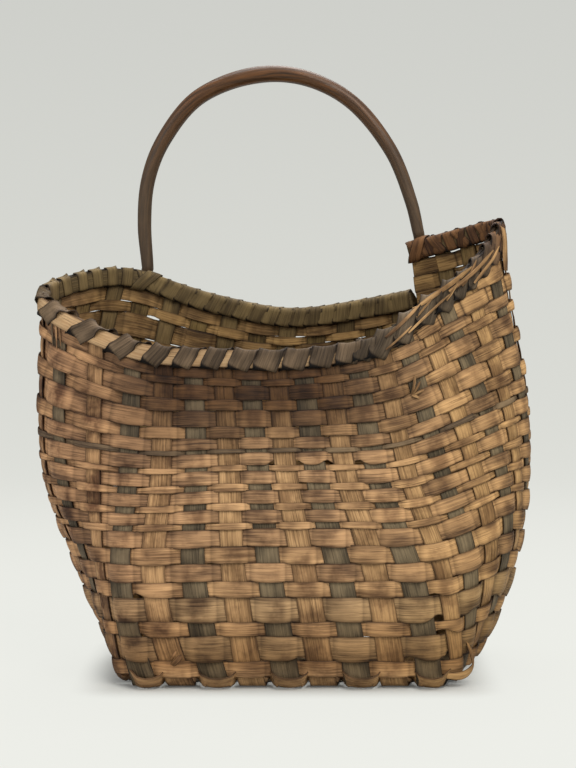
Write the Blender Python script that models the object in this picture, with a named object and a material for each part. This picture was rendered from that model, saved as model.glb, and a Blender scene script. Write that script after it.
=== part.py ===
"""Plaited splint basket with a bent stick handle.

The basket stands on the floor with its mouth up, +Z up, the front toward -Y.
Every length is in metres.
"""
import math

import bmesh
import bpy
import numpy as np

# Sizes of the base
BASE_FRONT_WIDTH = 0.240
BASE_BACK_WIDTH = 0.280
BASE_DEPTH = 0.170
BASE_BACK_SHIFT = 0.015
FRONT_CORNER_GAP = 0.018
SIDE_CORNER_GAP = 0.0135
FOLD_RUN = 0.004

# Sizes that scale the outlines of the wall
BODY_WIDTH = 0.360
BODY_DEPTH = 0.190
BODY_HEIGHT = 0.230

# Splints
STAKE_THICKNESS = 0.0008
WEAVER_THICKNESS = 0.0008
FRONT_STAKE_FOOT_WIDTH = 0.0195
FRONT_STAKE_TIP_WIDTH = 0.0135
SIDE_STAKE_FOOT_WIDTH = 0.0130
SIDE_STAKE_TIP_WIDTH = 0.0135
WEAVE_CLEARANCE = 0.0005
BASE_CLEARANCE = 0.0004
EDGE_MARGIN = 0.0006
ROW_GAP = 0.0006
SHORT_ROW_HEIGHT = 0.012
TURN_REACH = 0.0013
TAPER_MINIMUM = 0.004

# Rim hoops and their lashing
HOOP_HEIGHT = 0.012
OUTER_HOOP_THICKNESS = 0.0030
INNER_HOOP_THICKNESS = 0.0025
RIM_GAP = 0.0018
HOOP_CLEARANCE = 0.0004
TIP_SINK = 0.0005
HOOP_END_REACH = 0.002
LASHING_THICKNESS = 0.0008
LASHING_WIDTH = 0.010
LASHING_NECK = 0.0038
LASHING_CLEARANCE = 0.0005

# Handle
HANDLE_RISE = 0.131
HANDLE_MIDDLE_RADIUS = 0.0062
HANDLE_END_RADIUS = 0.0048
HANDLE_ROOT_RISE = 0.004
TAIL_WIDTH = 0.0095
TAIL_THICKNESS = 0.0030
TAIL_CLEARANCE = 0.0004

# Counts
FRONT_STAKES = 9
SIDE_STAKES = 9
SHORT_ROWS = 3
GUIDE_STEP = 3
GAP_SAMPLES = 16
DARK_ROW = 17
HANDLE_STEPS = 2
HANDLE_SIDES = 8
LEFT_ROOT_STAKE = 29
RIGHT_ROOT_STAKE = 19

# Heights of the wall, as shares of its run from the base to the last full row
LEVEL_SHARES = (0.0, 0.31, 0.66, 1.0)
ROW_SHARES = (
    0.030, 0.075, 0.148, 0.190, 0.265, 0.313, 0.371, 0.426, 0.484, 0.506, 0.548, 0.571, 0.613,
    0.635, 0.677, 0.694, 0.735, 0.748, 0.784, 0.819, 0.871, 0.906, 0.952, 0.974, 1.000,
)
KNOT_ROWS = (0, 1, 2, 3, 4, 6, 8, 11, 14, 18, 21, 24)

# Outlines of the wall at each third stake from the front's left one, as shares of
# half the body's width, half its depth and its height
BELLY_SHARES = (
    (-0.66, -0.89, 0.335), (-0.21, -0.95, 0.340), (0.21, -0.95, 0.340), (0.62, -0.88, 0.345),
    (0.88, -0.53, 0.410), (0.95, 0.14, 0.375), (0.82, 0.88, 0.340), (0.33, 1.03, 0.320),
    (-0.14, 1.03, 0.320), (-0.58, 0.90, 0.320), (-0.86, 0.40, 0.320), (-0.84, -0.23, 0.325),
)
SHOULDER_SHARES = (
    (-0.63, -0.84, 0.655), (-0.23, -0.90, 0.665), (0.11, -0.93, 0.670), (0.47, -0.84, 0.680),
    (0.82, -0.55, 0.770), (0.99, 0.02, 0.810), (0.79, 0.69, 0.790), (0.39, 0.95, 0.720),
    (-0.05, 0.98, 0.690), (-0.51, 0.905, 0.695), (-0.88, 0.53, 0.700), (-1.00, -0.19, 0.675),
)
RIM_SHARES = (
    (-0.61, -0.65, 1.010), (-0.255, -0.78, 0.985), (0.06, -0.80, 0.985), (0.37, -0.72, 1.025),
    (0.65, -0.51, 1.125), (0.90, 0.00, 1.225), (0.69, 0.53, 1.190), (0.365, 0.72, 1.135),
    (0.00, 0.80, 1.100), (-0.37, 0.78, 1.155), (-0.73, 0.63, 1.235), (-1.00, -0.04, 1.155),
)
# Centre line of the handle's bow from its left root to its right root, as shares of
# the distance between the roots and of the bow's rise over them
HANDLE_SHARES = (
    (0.000, 0.000), (0.009, 0.260), (0.045, 0.510), (0.125, 0.725), (0.260, 0.918),
    (0.450, 1.000), (0.640, 0.960), (0.810, 0.785), (0.930, 0.490), (0.983, 0.200),
    (1.000, 0.000),
)
# How far the rim stands above the last full row on stakes 7 to 14, as shares of
# the short rows' height together
RIM_RAMP_SHARES = {
    7: 0.0, 8: 0.0, 9: 0.0, 10: 0.13, 11: 0.25, 12: 0.31, 13: 0.42, 14: 0.68,
}
# How near two places on the rim are read to find its direction, in stakes
NEAR_SHARE = 0.05
# How far past its last stake a hoop's end may reach at most, in stakes
HOOP_END_SHARE = 0.49
LASHING_SLANT_SHARE = 0.42
LASHING_RETURN_SHARE = 0.58
TIE_REACH_SHARE = 0.48
TIE_HIGH_SHARE = 0.80
TIE_LOW_SHARE = 0.20

STAKE_ENDS = 2 * (FRONT_STAKES + SIDE_STAKES)
RIGHT_FIRST = FRONT_STAKES
BACK_FIRST = FRONT_STAKES + SIDE_STAKES
LEFT_FIRST = 2 * FRONT_STAKES + SIDE_STAKES
BASE_LEVEL = 1.5 * STAKE_THICKNESS + BASE_CLEARANCE
BASE_LIFT = STAKE_THICKNESS + BASE_CLEARANCE
WEAVE_LIFT = (STAKE_THICKNESS + WEAVER_THICKNESS) / 2 + WEAVE_CLEARANCE
OUTER_HOOP_FACE = STAKE_THICKNESS / 2 + HOOP_CLEARANCE + OUTER_HOOP_THICKNESS
INNER_HOOP_FACE = STAKE_THICKNESS / 2 + HOOP_CLEARANCE + INNER_HOOP_THICKNESS
TAIL_INNER_FACE = OUTER_HOOP_FACE + TAIL_CLEARANCE

MILLIMETRE = 0.001

DARK_STAKE = (0.115, 0.100, 0.070)
LIGHT_STAKE = (0.430, 0.300, 0.165)
WEAVER_TAN = (0.300, 0.195, 0.110)
WEAVER_MAUVE = (0.235, 0.155, 0.105)
WEAVER_DARK = (0.090, 0.075, 0.055)
HOOP_PALE = (0.470, 0.350, 0.220)
LASHING_GREY = (0.200, 0.150, 0.110)
LASHING_BROWN = (0.150, 0.085, 0.050)
HANDLE_BROWN = (0.130, 0.070, 0.035)


def clear_scene():
    for item in list(bpy.data.objects):
        bpy.data.objects.remove(item, do_unlink=True)


def add_object(name, mesh, colour, roughness=0.75):
    """Put a finished mesh into the scene with a material of its own."""
    item = bpy.data.objects.new(name, mesh)
    bpy.context.scene.collection.objects.link(item)
    material = bpy.data.materials.new(name)
    material.use_nodes = True
    shader = material.node_tree.nodes["Principled BSDF"]
    shader.inputs["Base Color"].default_value = (*colour, 1.0)
    shader.inputs["Roughness"].default_value = roughness
    shader.inputs["Metallic"].default_value = 0.0
    mesh.materials.append(material)
    return item


def bridge_triangles(bm, a, b):
    """Join two rings of corners with the same diagonal on both broad faces."""
    count = len(a)
    for i in range(count):
        j = (i + 1) % count
        if i == 2:
            bm.faces.new((a[i], a[j], b[j]))
            bm.faces.new((a[i], b[j], b[i]))
        else:
            bm.faces.new((a[i], a[j], b[i]))
            bm.faces.new((a[j], b[j], b[i]))


def strip_mesh(name, sections, closed=False, smooth=False):
    """Loft a strip or a tube through its sections, each a ring of corner points."""
    bm = bmesh.new()
    rings = [[bm.verts.new(point) for point in section] for section in sections]
    for a, b in zip(rings, rings[1:]):
        bridge_triangles(bm, a, b)
    if closed:
        bridge_triangles(bm, rings[-1], rings[0])
    else:
        bm.faces.new(rings[0][::-1])
        bm.faces.new(rings[-1])
    if bm.calc_volume(signed=True) < 0:
        bmesh.ops.reverse_faces(bm, faces=bm.faces)
    bmesh.ops.triangulate(bm, faces=[face for face in bm.faces if len(face.verts) > 3])
    mesh = bpy.data.meshes.new(name)
    bm.to_mesh(mesh)
    bm.free()
    if smooth:
        mesh.shade_smooth()
        mesh.set_sharp_from_angle(angle=math.radians(50))
    return mesh


def unit(vector):
    return vector / np.linalg.norm(vector)


def cubic_through(points, place):
    """Read a closed smooth curve through evenly spaced points."""
    index = int(math.floor(place))
    part = place - index
    p0, p1, p2, p3 = (points[(index + step) % len(points)] for step in (-1, 0, 1, 2))
    return 0.5 * (
        2 * p1
        + (p2 - p0) * part
        + (2 * p0 - 5 * p1 + 4 * p2 - p3) * part**2
        + (3 * p1 - p0 - 3 * p2 + p3) * part**3
    )


def base_corners():
    """Corners of the base: front left, front right, back right, back left."""
    front = BASE_FRONT_WIDTH / 2
    back = BASE_BACK_WIDTH / 2
    side = BASE_DEPTH / 2
    return [
        np.array((-front, -side, BASE_LEVEL)),
        np.array((front, -side, BASE_LEVEL)),
        np.array((BASE_BACK_SHIFT + back, side, BASE_LEVEL)),
        np.array((BASE_BACK_SHIFT - back, side, BASE_LEVEL)),
    ]


def side_places(start, end, count, corner_gap):
    """Evenly spaced stake feet along one side of the base."""
    run = end - start
    length = np.linalg.norm(run)
    pitch = (length - 2 * corner_gap) / (count - 1)
    return [start + run / length * (corner_gap + pitch * i) for i in range(count)]


def stake_feet():
    """Where each stake leaves the base, all the way round from the front's left one."""
    c = base_corners()
    feet = side_places(c[0], c[1], FRONT_STAKES, FRONT_CORNER_GAP)
    feet += side_places(c[1], c[2], SIDE_STAKES, SIDE_CORNER_GAP)
    feet += side_places(c[2], c[3], FRONT_STAKES, FRONT_CORNER_GAP)
    feet += side_places(c[3], c[0], SIDE_STAKES, SIDE_CORNER_GAP)
    return feet


def level_points(shares):
    """One outline of the wall, read at every stake."""
    size = np.array((BODY_WIDTH / 2, BODY_DEPTH / 2, BODY_HEIGHT))
    guides = [np.array(share) * size for share in shares]
    return [cubic_through(guides, k / GUIDE_STEP) for k in range(STAKE_ENDS)]


def rise_curve(points, share):
    """Height curve of one stake through its points at LEVEL_SHARES."""
    spans = [LEVEL_SHARES[i + 1] - LEVEL_SHARES[i] for i in range(3)]
    slopes = [(points[i + 1] - points[i]) / spans[i] for i in range(3)]
    tangents = [1.5 * slopes[0] - 0.5 * slopes[1]]
    for i in (1, 2):
        blend = spans[i] / (spans[i - 1] + spans[i])
        tangents.append(slopes[i - 1] * blend + slopes[i] * (1 - blend))
    tangents.append(slopes[2])
    k = min(2, sum(share > level for level in LEVEL_SHARES[1:3]))
    f = (share - LEVEL_SHARES[k]) / spans[k]
    a = (2 * f**3 - 3 * f**2 + 1) * points[k] + (f**3 - 2 * f**2 + f) * spans[k] * tangents[k]
    b = (3 * f**2 - 2 * f**3) * points[k + 1] + (f**3 - f**2) * spans[k] * tangents[k + 1]
    return a + b


class Wall:
    """The basket's wall: for each stake its centre line, its row direction and its
    outward direction at the knots, and straight runs between the knots."""

    def __init__(self):
        self.feet = stake_feet()
        levels = [self.feet] + [level_points(s) for s in (BELLY_SHARES, SHOULDER_SHARES, RIM_SHARES)]
        self.knots = [ROW_SHARES[row] for row in KNOT_ROWS]
        self.centre = [
            [rise_curve([level[k] for level in levels], share) for share in self.knots]
            for k in range(STAKE_ENDS)
        ]
        self.along = []
        self.outward = []
        for k in range(STAKE_ENDS):
            before = self.centre[k - 1]
            after = self.centre[(k + 1) % STAKE_ENDS]
            along = [unit(after[i] - before[i]) for i in range(len(self.knots))]
            own = self.centre[k]
            outward = []
            for i in range(len(self.knots)):
                low = own[max(i - 1, 0)]
                high = own[min(i + 1, len(own) - 1)]
                outward.append(unit(np.cross(along[i], high - low)))
            self.along.append(along)
            self.outward.append(outward)
        self.up = [unit(c[-1] - c[-2]) for c in self.centre]

    def at(self, k, share, over=0.0):
        """Centre, row direction and outward direction of stake k at a height share,
        or at the given height over the last full row."""
        k %= STAKE_ENDS
        if share >= 1.0:
            return self.centre[k][-1] + self.up[k] * over, self.along[k][-1], self.outward[k][-1]
        i = max(j for j in range(len(self.knots) - 1) if j == 0 or self.knots[j] <= share)
        f = (share - self.knots[i]) / (self.knots[i + 1] - self.knots[i])
        return tuple(
            values[k][i] * (1 - f) + values[k][i + 1] * f
            for values in (self.centre, self.along, self.outward)
        )

    def height(self, k):
        """Run of stake k from its lowest knot to the last full row."""
        centre = self.centre[k % STAKE_ENDS]
        return sum(np.linalg.norm(b - a) for a, b in zip(centre, centre[1:]))


def is_front_type(k):
    """True for the ends of stakes that cross the base from front to back."""
    k %= STAKE_ENDS
    return k < RIGHT_FIRST or BACK_FIRST <= k < LEFT_FIRST


def tip_rise(k):
    """Height of the rim's foot where it passes stake k, over the last full row."""
    before, own, after = rim_foot_rises(k)
    return (before + 2 * own + after) / 4


def rim_slope(wall, k):
    """Slope of the rim's foot where it passes stake k."""
    before, own, after = rim_foot_rises(k)
    run = rim_middle(wall, k, 0.0, 0.0)[0] - rim_middle(wall, k - 1, 0.0, 0.0)[0]
    return (after - before) / 2 / np.linalg.norm(run)


def stake_half_width(k, share):
    if is_front_type(k):
        foot, tip = FRONT_STAKE_FOOT_WIDTH, FRONT_STAKE_TIP_WIDTH
    else:
        foot, tip = SIDE_STAKE_FOOT_WIDTH, SIDE_STAKE_TIP_WIDTH
    return (foot + (tip - foot) * min(share, 1.0)) / 2


def rim_rise(k):
    """How far the rim's foot stands above the last full row at stake k."""
    k %= STAKE_ENDS
    if k < min(RIM_RAMP_SHARES) or k > RIGHT_ROOT_STAKE:
        return 0.0
    return SHORT_ROWS * SHORT_ROW_HEIGHT * RIM_RAMP_SHARES.get(k, 1.0)


def flat_section(centre, side, outward, half_width, thickness):
    """Four corners of a splint's section: outer left and right, inner right and left."""
    left = centre - side * half_width
    right = centre + side * half_width
    push = outward * thickness / 2
    return [left + push, right + push, right - push, left - push]


# Stakes

def wall_sections(wall, k, flip):
    """Sections of one upright part of a stake, from the fold to the tip."""
    sections = []
    turn = -1 if flip else 1
    for share in wall.knots:
        centre, along, outward = wall.at(k, share)
        half = stake_half_width(k, share)
        sections.append(flat_section(centre, along * turn, outward, half, STAKE_THICKNESS))
    top = tip_rise(k) + RIM_GAP + HOOP_HEIGHT - TIP_SINK
    centre, along, outward = wall.at(k, 1.0, over=top)
    sloping = along + wall.up[k] * rim_slope(wall, k)
    half = stake_half_width(k, 1.0)
    sections.append(flat_section(centre, sloping * turn, outward, half, STAKE_THICKNESS))
    return sections


def fold_section(wall, k, run, side, half_width):
    """Section of a stake in the base just inside its fold, slanted to meet the wall."""
    along = wall.at(k, ROW_SHARES[0])[1]
    turned = along if np.dot(along, side) > 0 else -along
    slant = unit(unit(np.array((turned[0], turned[1], 0.0))) + side)
    point = wall.feet[k] + run * FOLD_RUN
    return base_section(point, slant, half_width / np.dot(slant, side))


def base_section(point, side, half_width, lift=0.0):
    down = np.array((0.0, 0.0, -1.0))
    return flat_section(point - down * lift, side, down, half_width, STAKE_THICKNESS)


def front_stake(wall, i):
    """A stake that runs down the front, flat across the base and up the back."""
    k_back = LEFT_FIRST - 1 - i
    front, back = wall.feet[i], wall.feet[k_back]
    run = unit(back - front)
    half = FRONT_STAKE_FOOT_WIDTH / 2
    side = np.array((1.0, 0.0, 0.0))
    sections = wall_sections(wall, i, False)[::-1]
    sections.append(fold_section(wall, i, run, side, half))
    sections.append(fold_section(wall, k_back, -run, side, half))
    sections += wall_sections(wall, k_back, True)
    return sections


def base_crossing(wall, i, j):
    """Point of the base where front stake i and side stake j cross."""
    a, b = wall.feet[i], wall.feet[LEFT_FIRST - 1 - i]
    c, d = wall.feet[RIGHT_FIRST + j], wall.feet[STAKE_ENDS - 1 - j]
    matrix = np.array(((b - a)[:2], -(d - c)[:2])).T
    part = np.linalg.solve(matrix, (c - a)[:2])
    return a + (b - a) * part[0]


def side_stake(wall, j):
    """A stake that runs down the right side, in and out across the base and up the left."""
    k_right, k_left = RIGHT_FIRST + j, STAKE_ENDS - 1 - j
    right, left = wall.feet[k_right], wall.feet[k_left]
    run = unit(left - right)
    side = np.array((0.0, 1.0, 0.0))
    half = SIDE_STAKE_FOOT_WIDTH / 2
    reach = FRONT_STAKE_FOOT_WIDTH / 2 + EDGE_MARGIN
    sections = wall_sections(wall, k_right, False)[::-1]
    sections.append(fold_section(wall, k_right, run, side, half))
    for i in reversed(range(FRONT_STAKES)):
        lift = -BASE_LIFT if (i + j) % 2 == 0 else BASE_LIFT
        middle = base_crossing(wall, i, j)
        crossed = unit(wall.feet[LEFT_FIRST - 1 - i] - wall.feet[i])
        stretch = np.dot(crossed, side)
        for end in (-reach / stretch, reach / stretch):
            sections.append(base_section(middle + run * end, crossed, half / stretch, lift))
    sections.append(fold_section(wall, k_left, -run, side, half))
    sections += wall_sections(wall, k_left, True)
    return sections


# Weavers

def weaver_section(wall, k, side_reach, low, high, push, over):
    """Section of a weaver beside stake k: outer top and bottom, inner bottom and top."""
    low_share, high_share = (1.0, 1.0) if over else (low, high)
    low_over, high_over = (low, high) if over else (0.0, 0.0)
    c0, e0, n0 = wall.at(k, low_share, low_over)
    c1, e1, n1 = wall.at(k, high_share, high_over)
    bottom = c0 + e0 * side_reach
    top = c1 + e1 * side_reach
    normal = unit(n0 + n1)
    out = push + WEAVER_THICKNESS / 2
    back = push - WEAVER_THICKNESS / 2
    return [top + normal * out, bottom + normal * out, bottom + normal * back, top + normal * back]


def passes_outside(k, row):
    return (k + row) % 2 == 0


def ring_weaver(wall, row):
    """A closed row, once round the basket, over one stake and under the next."""
    low_share, high_share = ROW_SHARES[row - 1], ROW_SHARES[row]
    sections = []
    for k in range(STAKE_ENDS):
        gap = ROW_GAP / 2 / wall.height(k)
        low, high = low_share + gap, high_share - gap
        push = WEAVE_LIFT if passes_outside(k, row) else -WEAVE_LIFT
        reach = stake_half_width(k, (low + high) / 2) + EDGE_MARGIN
        for end in (-reach, reach):
            sections.append(weaver_section(wall, k, end, low, high, push, False))
    return sections


def turned_end(wall, k, low, high, push):
    """The end of a short row, bent round the free edge of its last stake."""
    reach = stake_half_width(k, 1.0) + EDGE_MARGIN
    c0, e0, n0 = wall.at(k, 1.0, low)
    c1, _, _ = wall.at(k, 1.0, high)
    near = reach + TURN_REACH - WEAVER_THICKNESS / 2
    far = reach + TURN_REACH + WEAVER_THICKNESS / 2
    if push < 0:
        bend = [c1 + e0 * near, c0 + e0 * near, c0 + e0 * far, c1 + e0 * far]
    else:
        bend = [c1 + e0 * far, c0 + e0 * far, c0 + e0 * near, c1 + e0 * near]
    sections = [bend]
    for place in (reach, 0.0):
        a, b, c, d = weaver_section(wall, k, place, low, high, -push, True)
        sections.append([d, c, b, a])
    return sections


def short_weaver(wall, number):
    """A short row that builds up the high right end of the basket."""
    row = len(ROW_SHARES) - 1 + number
    low = SHORT_ROW_HEIGHT * (number - 1) + ROW_GAP / 2
    sections = []
    for k in range(min(RIM_RAMP_SHARES), RIGHT_ROOT_STAKE + 1):
        high = min(SHORT_ROW_HEIGHT * number, (rim_rise(k) + rim_rise(k - 1)) / 2) - ROW_GAP / 2
        if high - low < TAPER_MINIMUM:
            continue
        push = WEAVE_LIFT if passes_outside(k, row) else -WEAVE_LIFT
        reach = stake_half_width(k, 1.0) + EDGE_MARGIN
        for end in (-reach, reach):
            sections.append(weaver_section(wall, k, end, low, high, push, True))
    high = SHORT_ROW_HEIGHT * number - ROW_GAP / 2
    push = WEAVE_LIFT if passes_outside(RIGHT_ROOT_STAKE, row) else -WEAVE_LIFT
    return sections + turned_end(wall, RIGHT_ROOT_STAKE, low, high, push)


# Rim

def rim_foot_rises(k):
    """Rises of the rim's foot at stakes k - 1, k and k + 1 as the rim at k sees them."""
    rises = [rim_rise(i) for i in (k - 1, k, k + 1)]
    if k % STAKE_ENDS == RIGHT_ROOT_STAKE:
        rises[2] = rises[1]
    if k % STAKE_ENDS == RIGHT_ROOT_STAKE + 1:
        rises[0] = rises[1]
    return rises


def rim_middle(wall, k, low, high):
    """Point and outward direction half way between stakes k and k + 1."""
    c0, _, n0 = wall.at(k, 1.0, low)
    c1, _, n1 = wall.at(k + 1, 1.0, high)
    return (c0 + c1) / 2, unit(n0 + n1)


def flat_bulge(wall, k, over, way):
    """How far stake k's edges stand out past the straight run beside it, way out or in,
    and the direction that run faces."""
    before, own, after = (rise + over for rise in rim_foot_rises(k))
    start, n0 = rim_middle(wall, k - 1, before, own)
    end, n1 = rim_middle(wall, k, own, after)
    run = unit(end - start)
    facing = (n0 + n1) / 2
    facing = unit(facing - run * np.dot(facing, run))
    centre, along, _ = wall.at(k, 1.0, own)
    half = along * stake_half_width(k, 1.0)
    edges = (centre - half, centre + half)
    return max(0.0, *(np.dot(edge - start, facing) * way for edge in edges)), facing


def rim_corner(wall, k, over, push, low, high):
    """Joint of the flats beside stakes k and k + 1, pushed out far enough to clear both."""
    way = 1 if push > 0 else -1
    middle, outward = rim_middle(wall, k, low + over, high + over)
    bulges = [flat_bulge(wall, i, over, way) for i in (k, k + 1)]
    room = max(bulge for bulge, _ in bulges)
    square = min(np.dot(outward, facing) for _, facing in bulges)
    return middle + outward * (push + way * room) / square


def rim_point(wall, place, over, push):
    """Point beside the rim at a place counted in stakes, over the rim's foot."""
    k = int(math.floor(place + 0.5))
    part = place - k + 0.5
    before, own, after = rim_foot_rises(k)
    start = rim_corner(wall, k - 1, over, push, before, own)
    end = rim_corner(wall, k, over, push, own, after)
    return start * (1 - part) + end * part


def hoop_end_places(wall):
    """The hoops' two ends, at the step of the rim beside the handle's right root."""
    high = RIGHT_ROOT_STAKE
    low = RIGHT_ROOT_STAKE + 1
    reach = stake_half_width(high, 1.0) + HOOP_END_REACH
    pitch = np.linalg.norm(wall.at(low, 1.0)[0] - wall.at(high, 1.0)[0])
    share = min(reach / pitch, HOOP_END_SHARE)
    return high + share, low - share


def rim_hoop(wall, inner_push, outer_push):
    """A flat hoop that lies along the stake tips, open at the step."""
    high_end, low_end = hoop_end_places(wall)
    places = [high_end]
    places += [k + 0.5 for k in range(RIGHT_ROOT_STAKE - 1, -1, -1)]
    places += [k + 0.5 - STAKE_ENDS for k in range(STAKE_ENDS - 1, RIGHT_ROOT_STAKE, -1)]
    places.append(low_end - STAKE_ENDS)
    sections = []
    for place in places:
        corners = [
            rim_point(wall, place, over, push)
            for over, push in (
                (RIM_GAP + HOOP_HEIGHT, outer_push),
                (RIM_GAP, outer_push),
                (RIM_GAP, inner_push),
                (RIM_GAP + HOOP_HEIGHT, inner_push),
            )
        ]
        sections.append(corners)
    return sections


def band_section(wall, place, over, push, width):
    """Section of a lashing at one corner of its way round the two hoops.

    over and push are each -1 or 1 for the hoops' low or high and inner or outer side."""
    face = (OUTER_HOOP_FACE if push > 0 else INNER_HOOP_FACE) + LASHING_CLEARANCE
    level = RIM_GAP + HOOP_HEIGHT + LASHING_CLEARANCE if over > 0 else RIM_GAP - LASHING_CLEARANCE
    middle = rim_point(wall, place, level, push * face)
    ahead = unit(rim_point(wall, place + NEAR_SHARE, level, push * face) - middle)
    behind = unit(middle - rim_point(wall, place - NEAR_SHARE, level, push * face))
    side = unit(ahead + behind)
    bend = (ahead - behind) * width / 4
    rise_room = abs(np.dot(bend, wall.up[int(round(place)) % STAKE_ENDS]))
    room = math.sqrt(max(0.0, np.dot(bend, bend) - rise_room**2))
    corners = []
    for extra, way in ((LASHING_THICKNESS, 1), (0.0, -1)):
        reach = (face + room + extra) * push
        point = rim_point(wall, place, level + (rise_room + extra) * over, reach)
        corners += [point - side * width / 2 * way, point + side * width / 2 * way]
    return corners


def rim_lashing(wall, first, last):
    """A strip wound round both hoops, once between each stake and the next."""
    sections = []
    for k in range(first, last + 1):
        gap = k + 0.5
        sections.append(band_section(wall, gap, -1, -1, LASHING_NECK))
        sections.append(band_section(wall, gap, -1, 1, LASHING_NECK))
        if k < last:
            sections.append(band_section(wall, gap + LASHING_SLANT_SHARE, 1, 1, LASHING_WIDTH))
            sections.append(band_section(wall, gap + LASHING_RETURN_SHARE, 1, -1, LASHING_WIDTH))
    return sections


def own_gap(sections):
    """Least distance between the turns of a winding, read on points of its surface."""
    runs = []
    for start, end in zip(sections, sections[1:]):
        a = np.array(start + [(start[i] + start[i - 1]) / 2 for i in range(len(start))])
        b = np.array(end + [(end[i] + end[i - 1]) / 2 for i in range(len(end))])
        parts = [(i + 0.5) / GAP_SAMPLES for i in range(GAP_SAMPLES)]
        runs.append(np.concatenate([a * (1 - part) + b * part for part in parts]))
    least = math.inf
    for i, run in enumerate(runs):
        for other in runs[i + 2:]:
            distances = np.linalg.norm(run[:, None] - other[None], axis=2)
            least = min(least, distances.min())
    return least


# Handle

def root_point(wall, k, over):
    """Centre of the handle's tail at stake k, over the rim's foot."""
    push = TAIL_INNER_FACE + TAIL_THICKNESS / 2
    return rim_point(wall, k, over, push)


def tail_point(wall, k, share):
    centre, _, outward = wall.at(k, share)
    return centre + outward * (TAIL_INNER_FACE + TAIL_THICKNESS / 2)


def oval_section(centre, side, face, half_side, half_face):
    points = []
    for i in range(HANDLE_SIDES):
        angle = 2 * math.pi * (i + 0.5) / HANDLE_SIDES
        points.append(
            centre + side * half_side * math.cos(angle) + face * half_face * math.sin(angle)
        )
    return points


def handle_tail(wall, k, turn, tail_shares):
    """Flat tail of the handle outside the wall, from its end up to the rim's top."""
    sections = []
    for share in tail_shares:
        _, along, outward = wall.at(k, share)
        point = tail_point(wall, k, share)
        sections.append(
            oval_section(point, along * turn, outward, TAIL_WIDTH / 2, TAIL_THICKNESS / 2)
        )
    _, along, outward = wall.at(k, 1.0)
    top = root_point(wall, k, RIM_GAP + HOOP_HEIGHT)
    sections.append(oval_section(top, along * turn, outward, TAIL_WIDTH / 2, TAIL_THICKNESS / 2))
    return sections


def handle_bow(left, right):
    """Centres of the bow's sections, its direction at each and the way it faces."""
    chord = right - left
    face = unit(np.cross(np.array((0.0, 0.0, 1.0)), chord))
    upright = np.cross(unit(chord), face)
    points = [left + chord * run + upright * HANDLE_RISE * rise for run, rise in HANDLE_SHARES]
    points = [points[0] * 2 - points[1]] + points + [points[-1] * 2 - points[-2]]
    count = (len(HANDLE_SHARES) - 1) * HANDLE_STEPS
    centres = [cubic_through(points, 1 + i / HANDLE_STEPS) for i in range(count + 1)]
    directions = []
    for i in range(count + 1):
        directions.append(unit(centres[min(i + 1, count)] - centres[max(i - 1, 0)]))
    return centres, directions, face


def handle(wall):
    """A bent stick: an uneven bow between two shaved tails."""
    rise = RIM_GAP + HOOP_HEIGHT + HANDLE_ROOT_RISE
    left = root_point(wall, LEFT_ROOT_STAKE, rise)
    right = root_point(wall, RIGHT_ROOT_STAKE, rise)
    centres, directions, face = handle_bow(left, right)
    tail_shares = (ROW_SHARES[KNOT_ROWS[-2]], ROW_SHARES[-1])
    sections = handle_tail(wall, LEFT_ROOT_STAKE, 1, tail_shares)
    for i, centre in enumerate(centres):
        bulge = math.sin(math.pi * i / (len(centres) - 1))
        thick = HANDLE_END_RADIUS + (HANDLE_MIDDLE_RADIUS - HANDLE_END_RADIUS) * bulge
        sections.append(oval_section(centre, np.cross(directions[i], face), face, thick, thick))
    sections += handle_tail(wall, RIGHT_ROOT_STAKE, -1, tail_shares)[::-1]
    return sections


def handle_tie(wall, k, direction, layer):
    """A closed band, slanting round the two hoops and the handle's tail at stake k."""
    lift = layer * (LASHING_THICKNESS + LASHING_CLEARANCE)
    low, high = k - TIE_REACH_SHARE * direction, k + TIE_REACH_SHARE * direction
    tail_out = TAIL_INNER_FACE + TAIL_THICKNESS + LASHING_CLEARANCE + lift
    hoop_out = OUTER_HOOP_FACE + LASHING_CLEARANCE + lift
    hoop_in = -(INNER_HOOP_FACE + LASHING_CLEARANCE + lift)
    foot = RIM_GAP - LASHING_CLEARANCE
    top = RIM_GAP + HOOP_HEIGHT + LASHING_CLEARANCE + lift
    pitch = np.linalg.norm(wall.at(k - 1, 1.0)[0] - wall.at(k, 1.0)[0])
    edge = (TAIL_WIDTH / 2 + LASHING_CLEARANCE) / pitch * direction
    along = unit(wall.at(k, 1.0)[1]) * direction
    drop = HOOP_HEIGHT * (TIE_HIGH_SHARE - TIE_LOW_SHARE)
    slant = unit(along * drop - wall.up[k] * abs(edge) * pitch * 2)
    stations = (
        (low, foot, hoop_in, -1, -1, along),
        (high, top, hoop_in, 1, -1, along),
        (high, top, hoop_out, 1, 1, along),
        (k + edge, RIM_GAP + HOOP_HEIGHT * TIE_HIGH_SHARE, tail_out, 0, 1, slant),
        (k - edge, RIM_GAP + HOOP_HEIGHT * TIE_LOW_SHARE, tail_out, 0, 1, slant),
        (low, foot, hoop_out, -1, 1, along),
    )
    sections = []
    for place, over, push, over_way, push_way, side in stations:
        inner = rim_point(wall, place, over, push)
        extra = LASHING_THICKNESS
        outer = rim_point(wall, place, over + over_way * extra, push + push_way * extra)
        half = side * LASHING_NECK / 2
        sections.append([outer - half, outer + half, inner + half, inner - half])
    return sections


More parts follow.
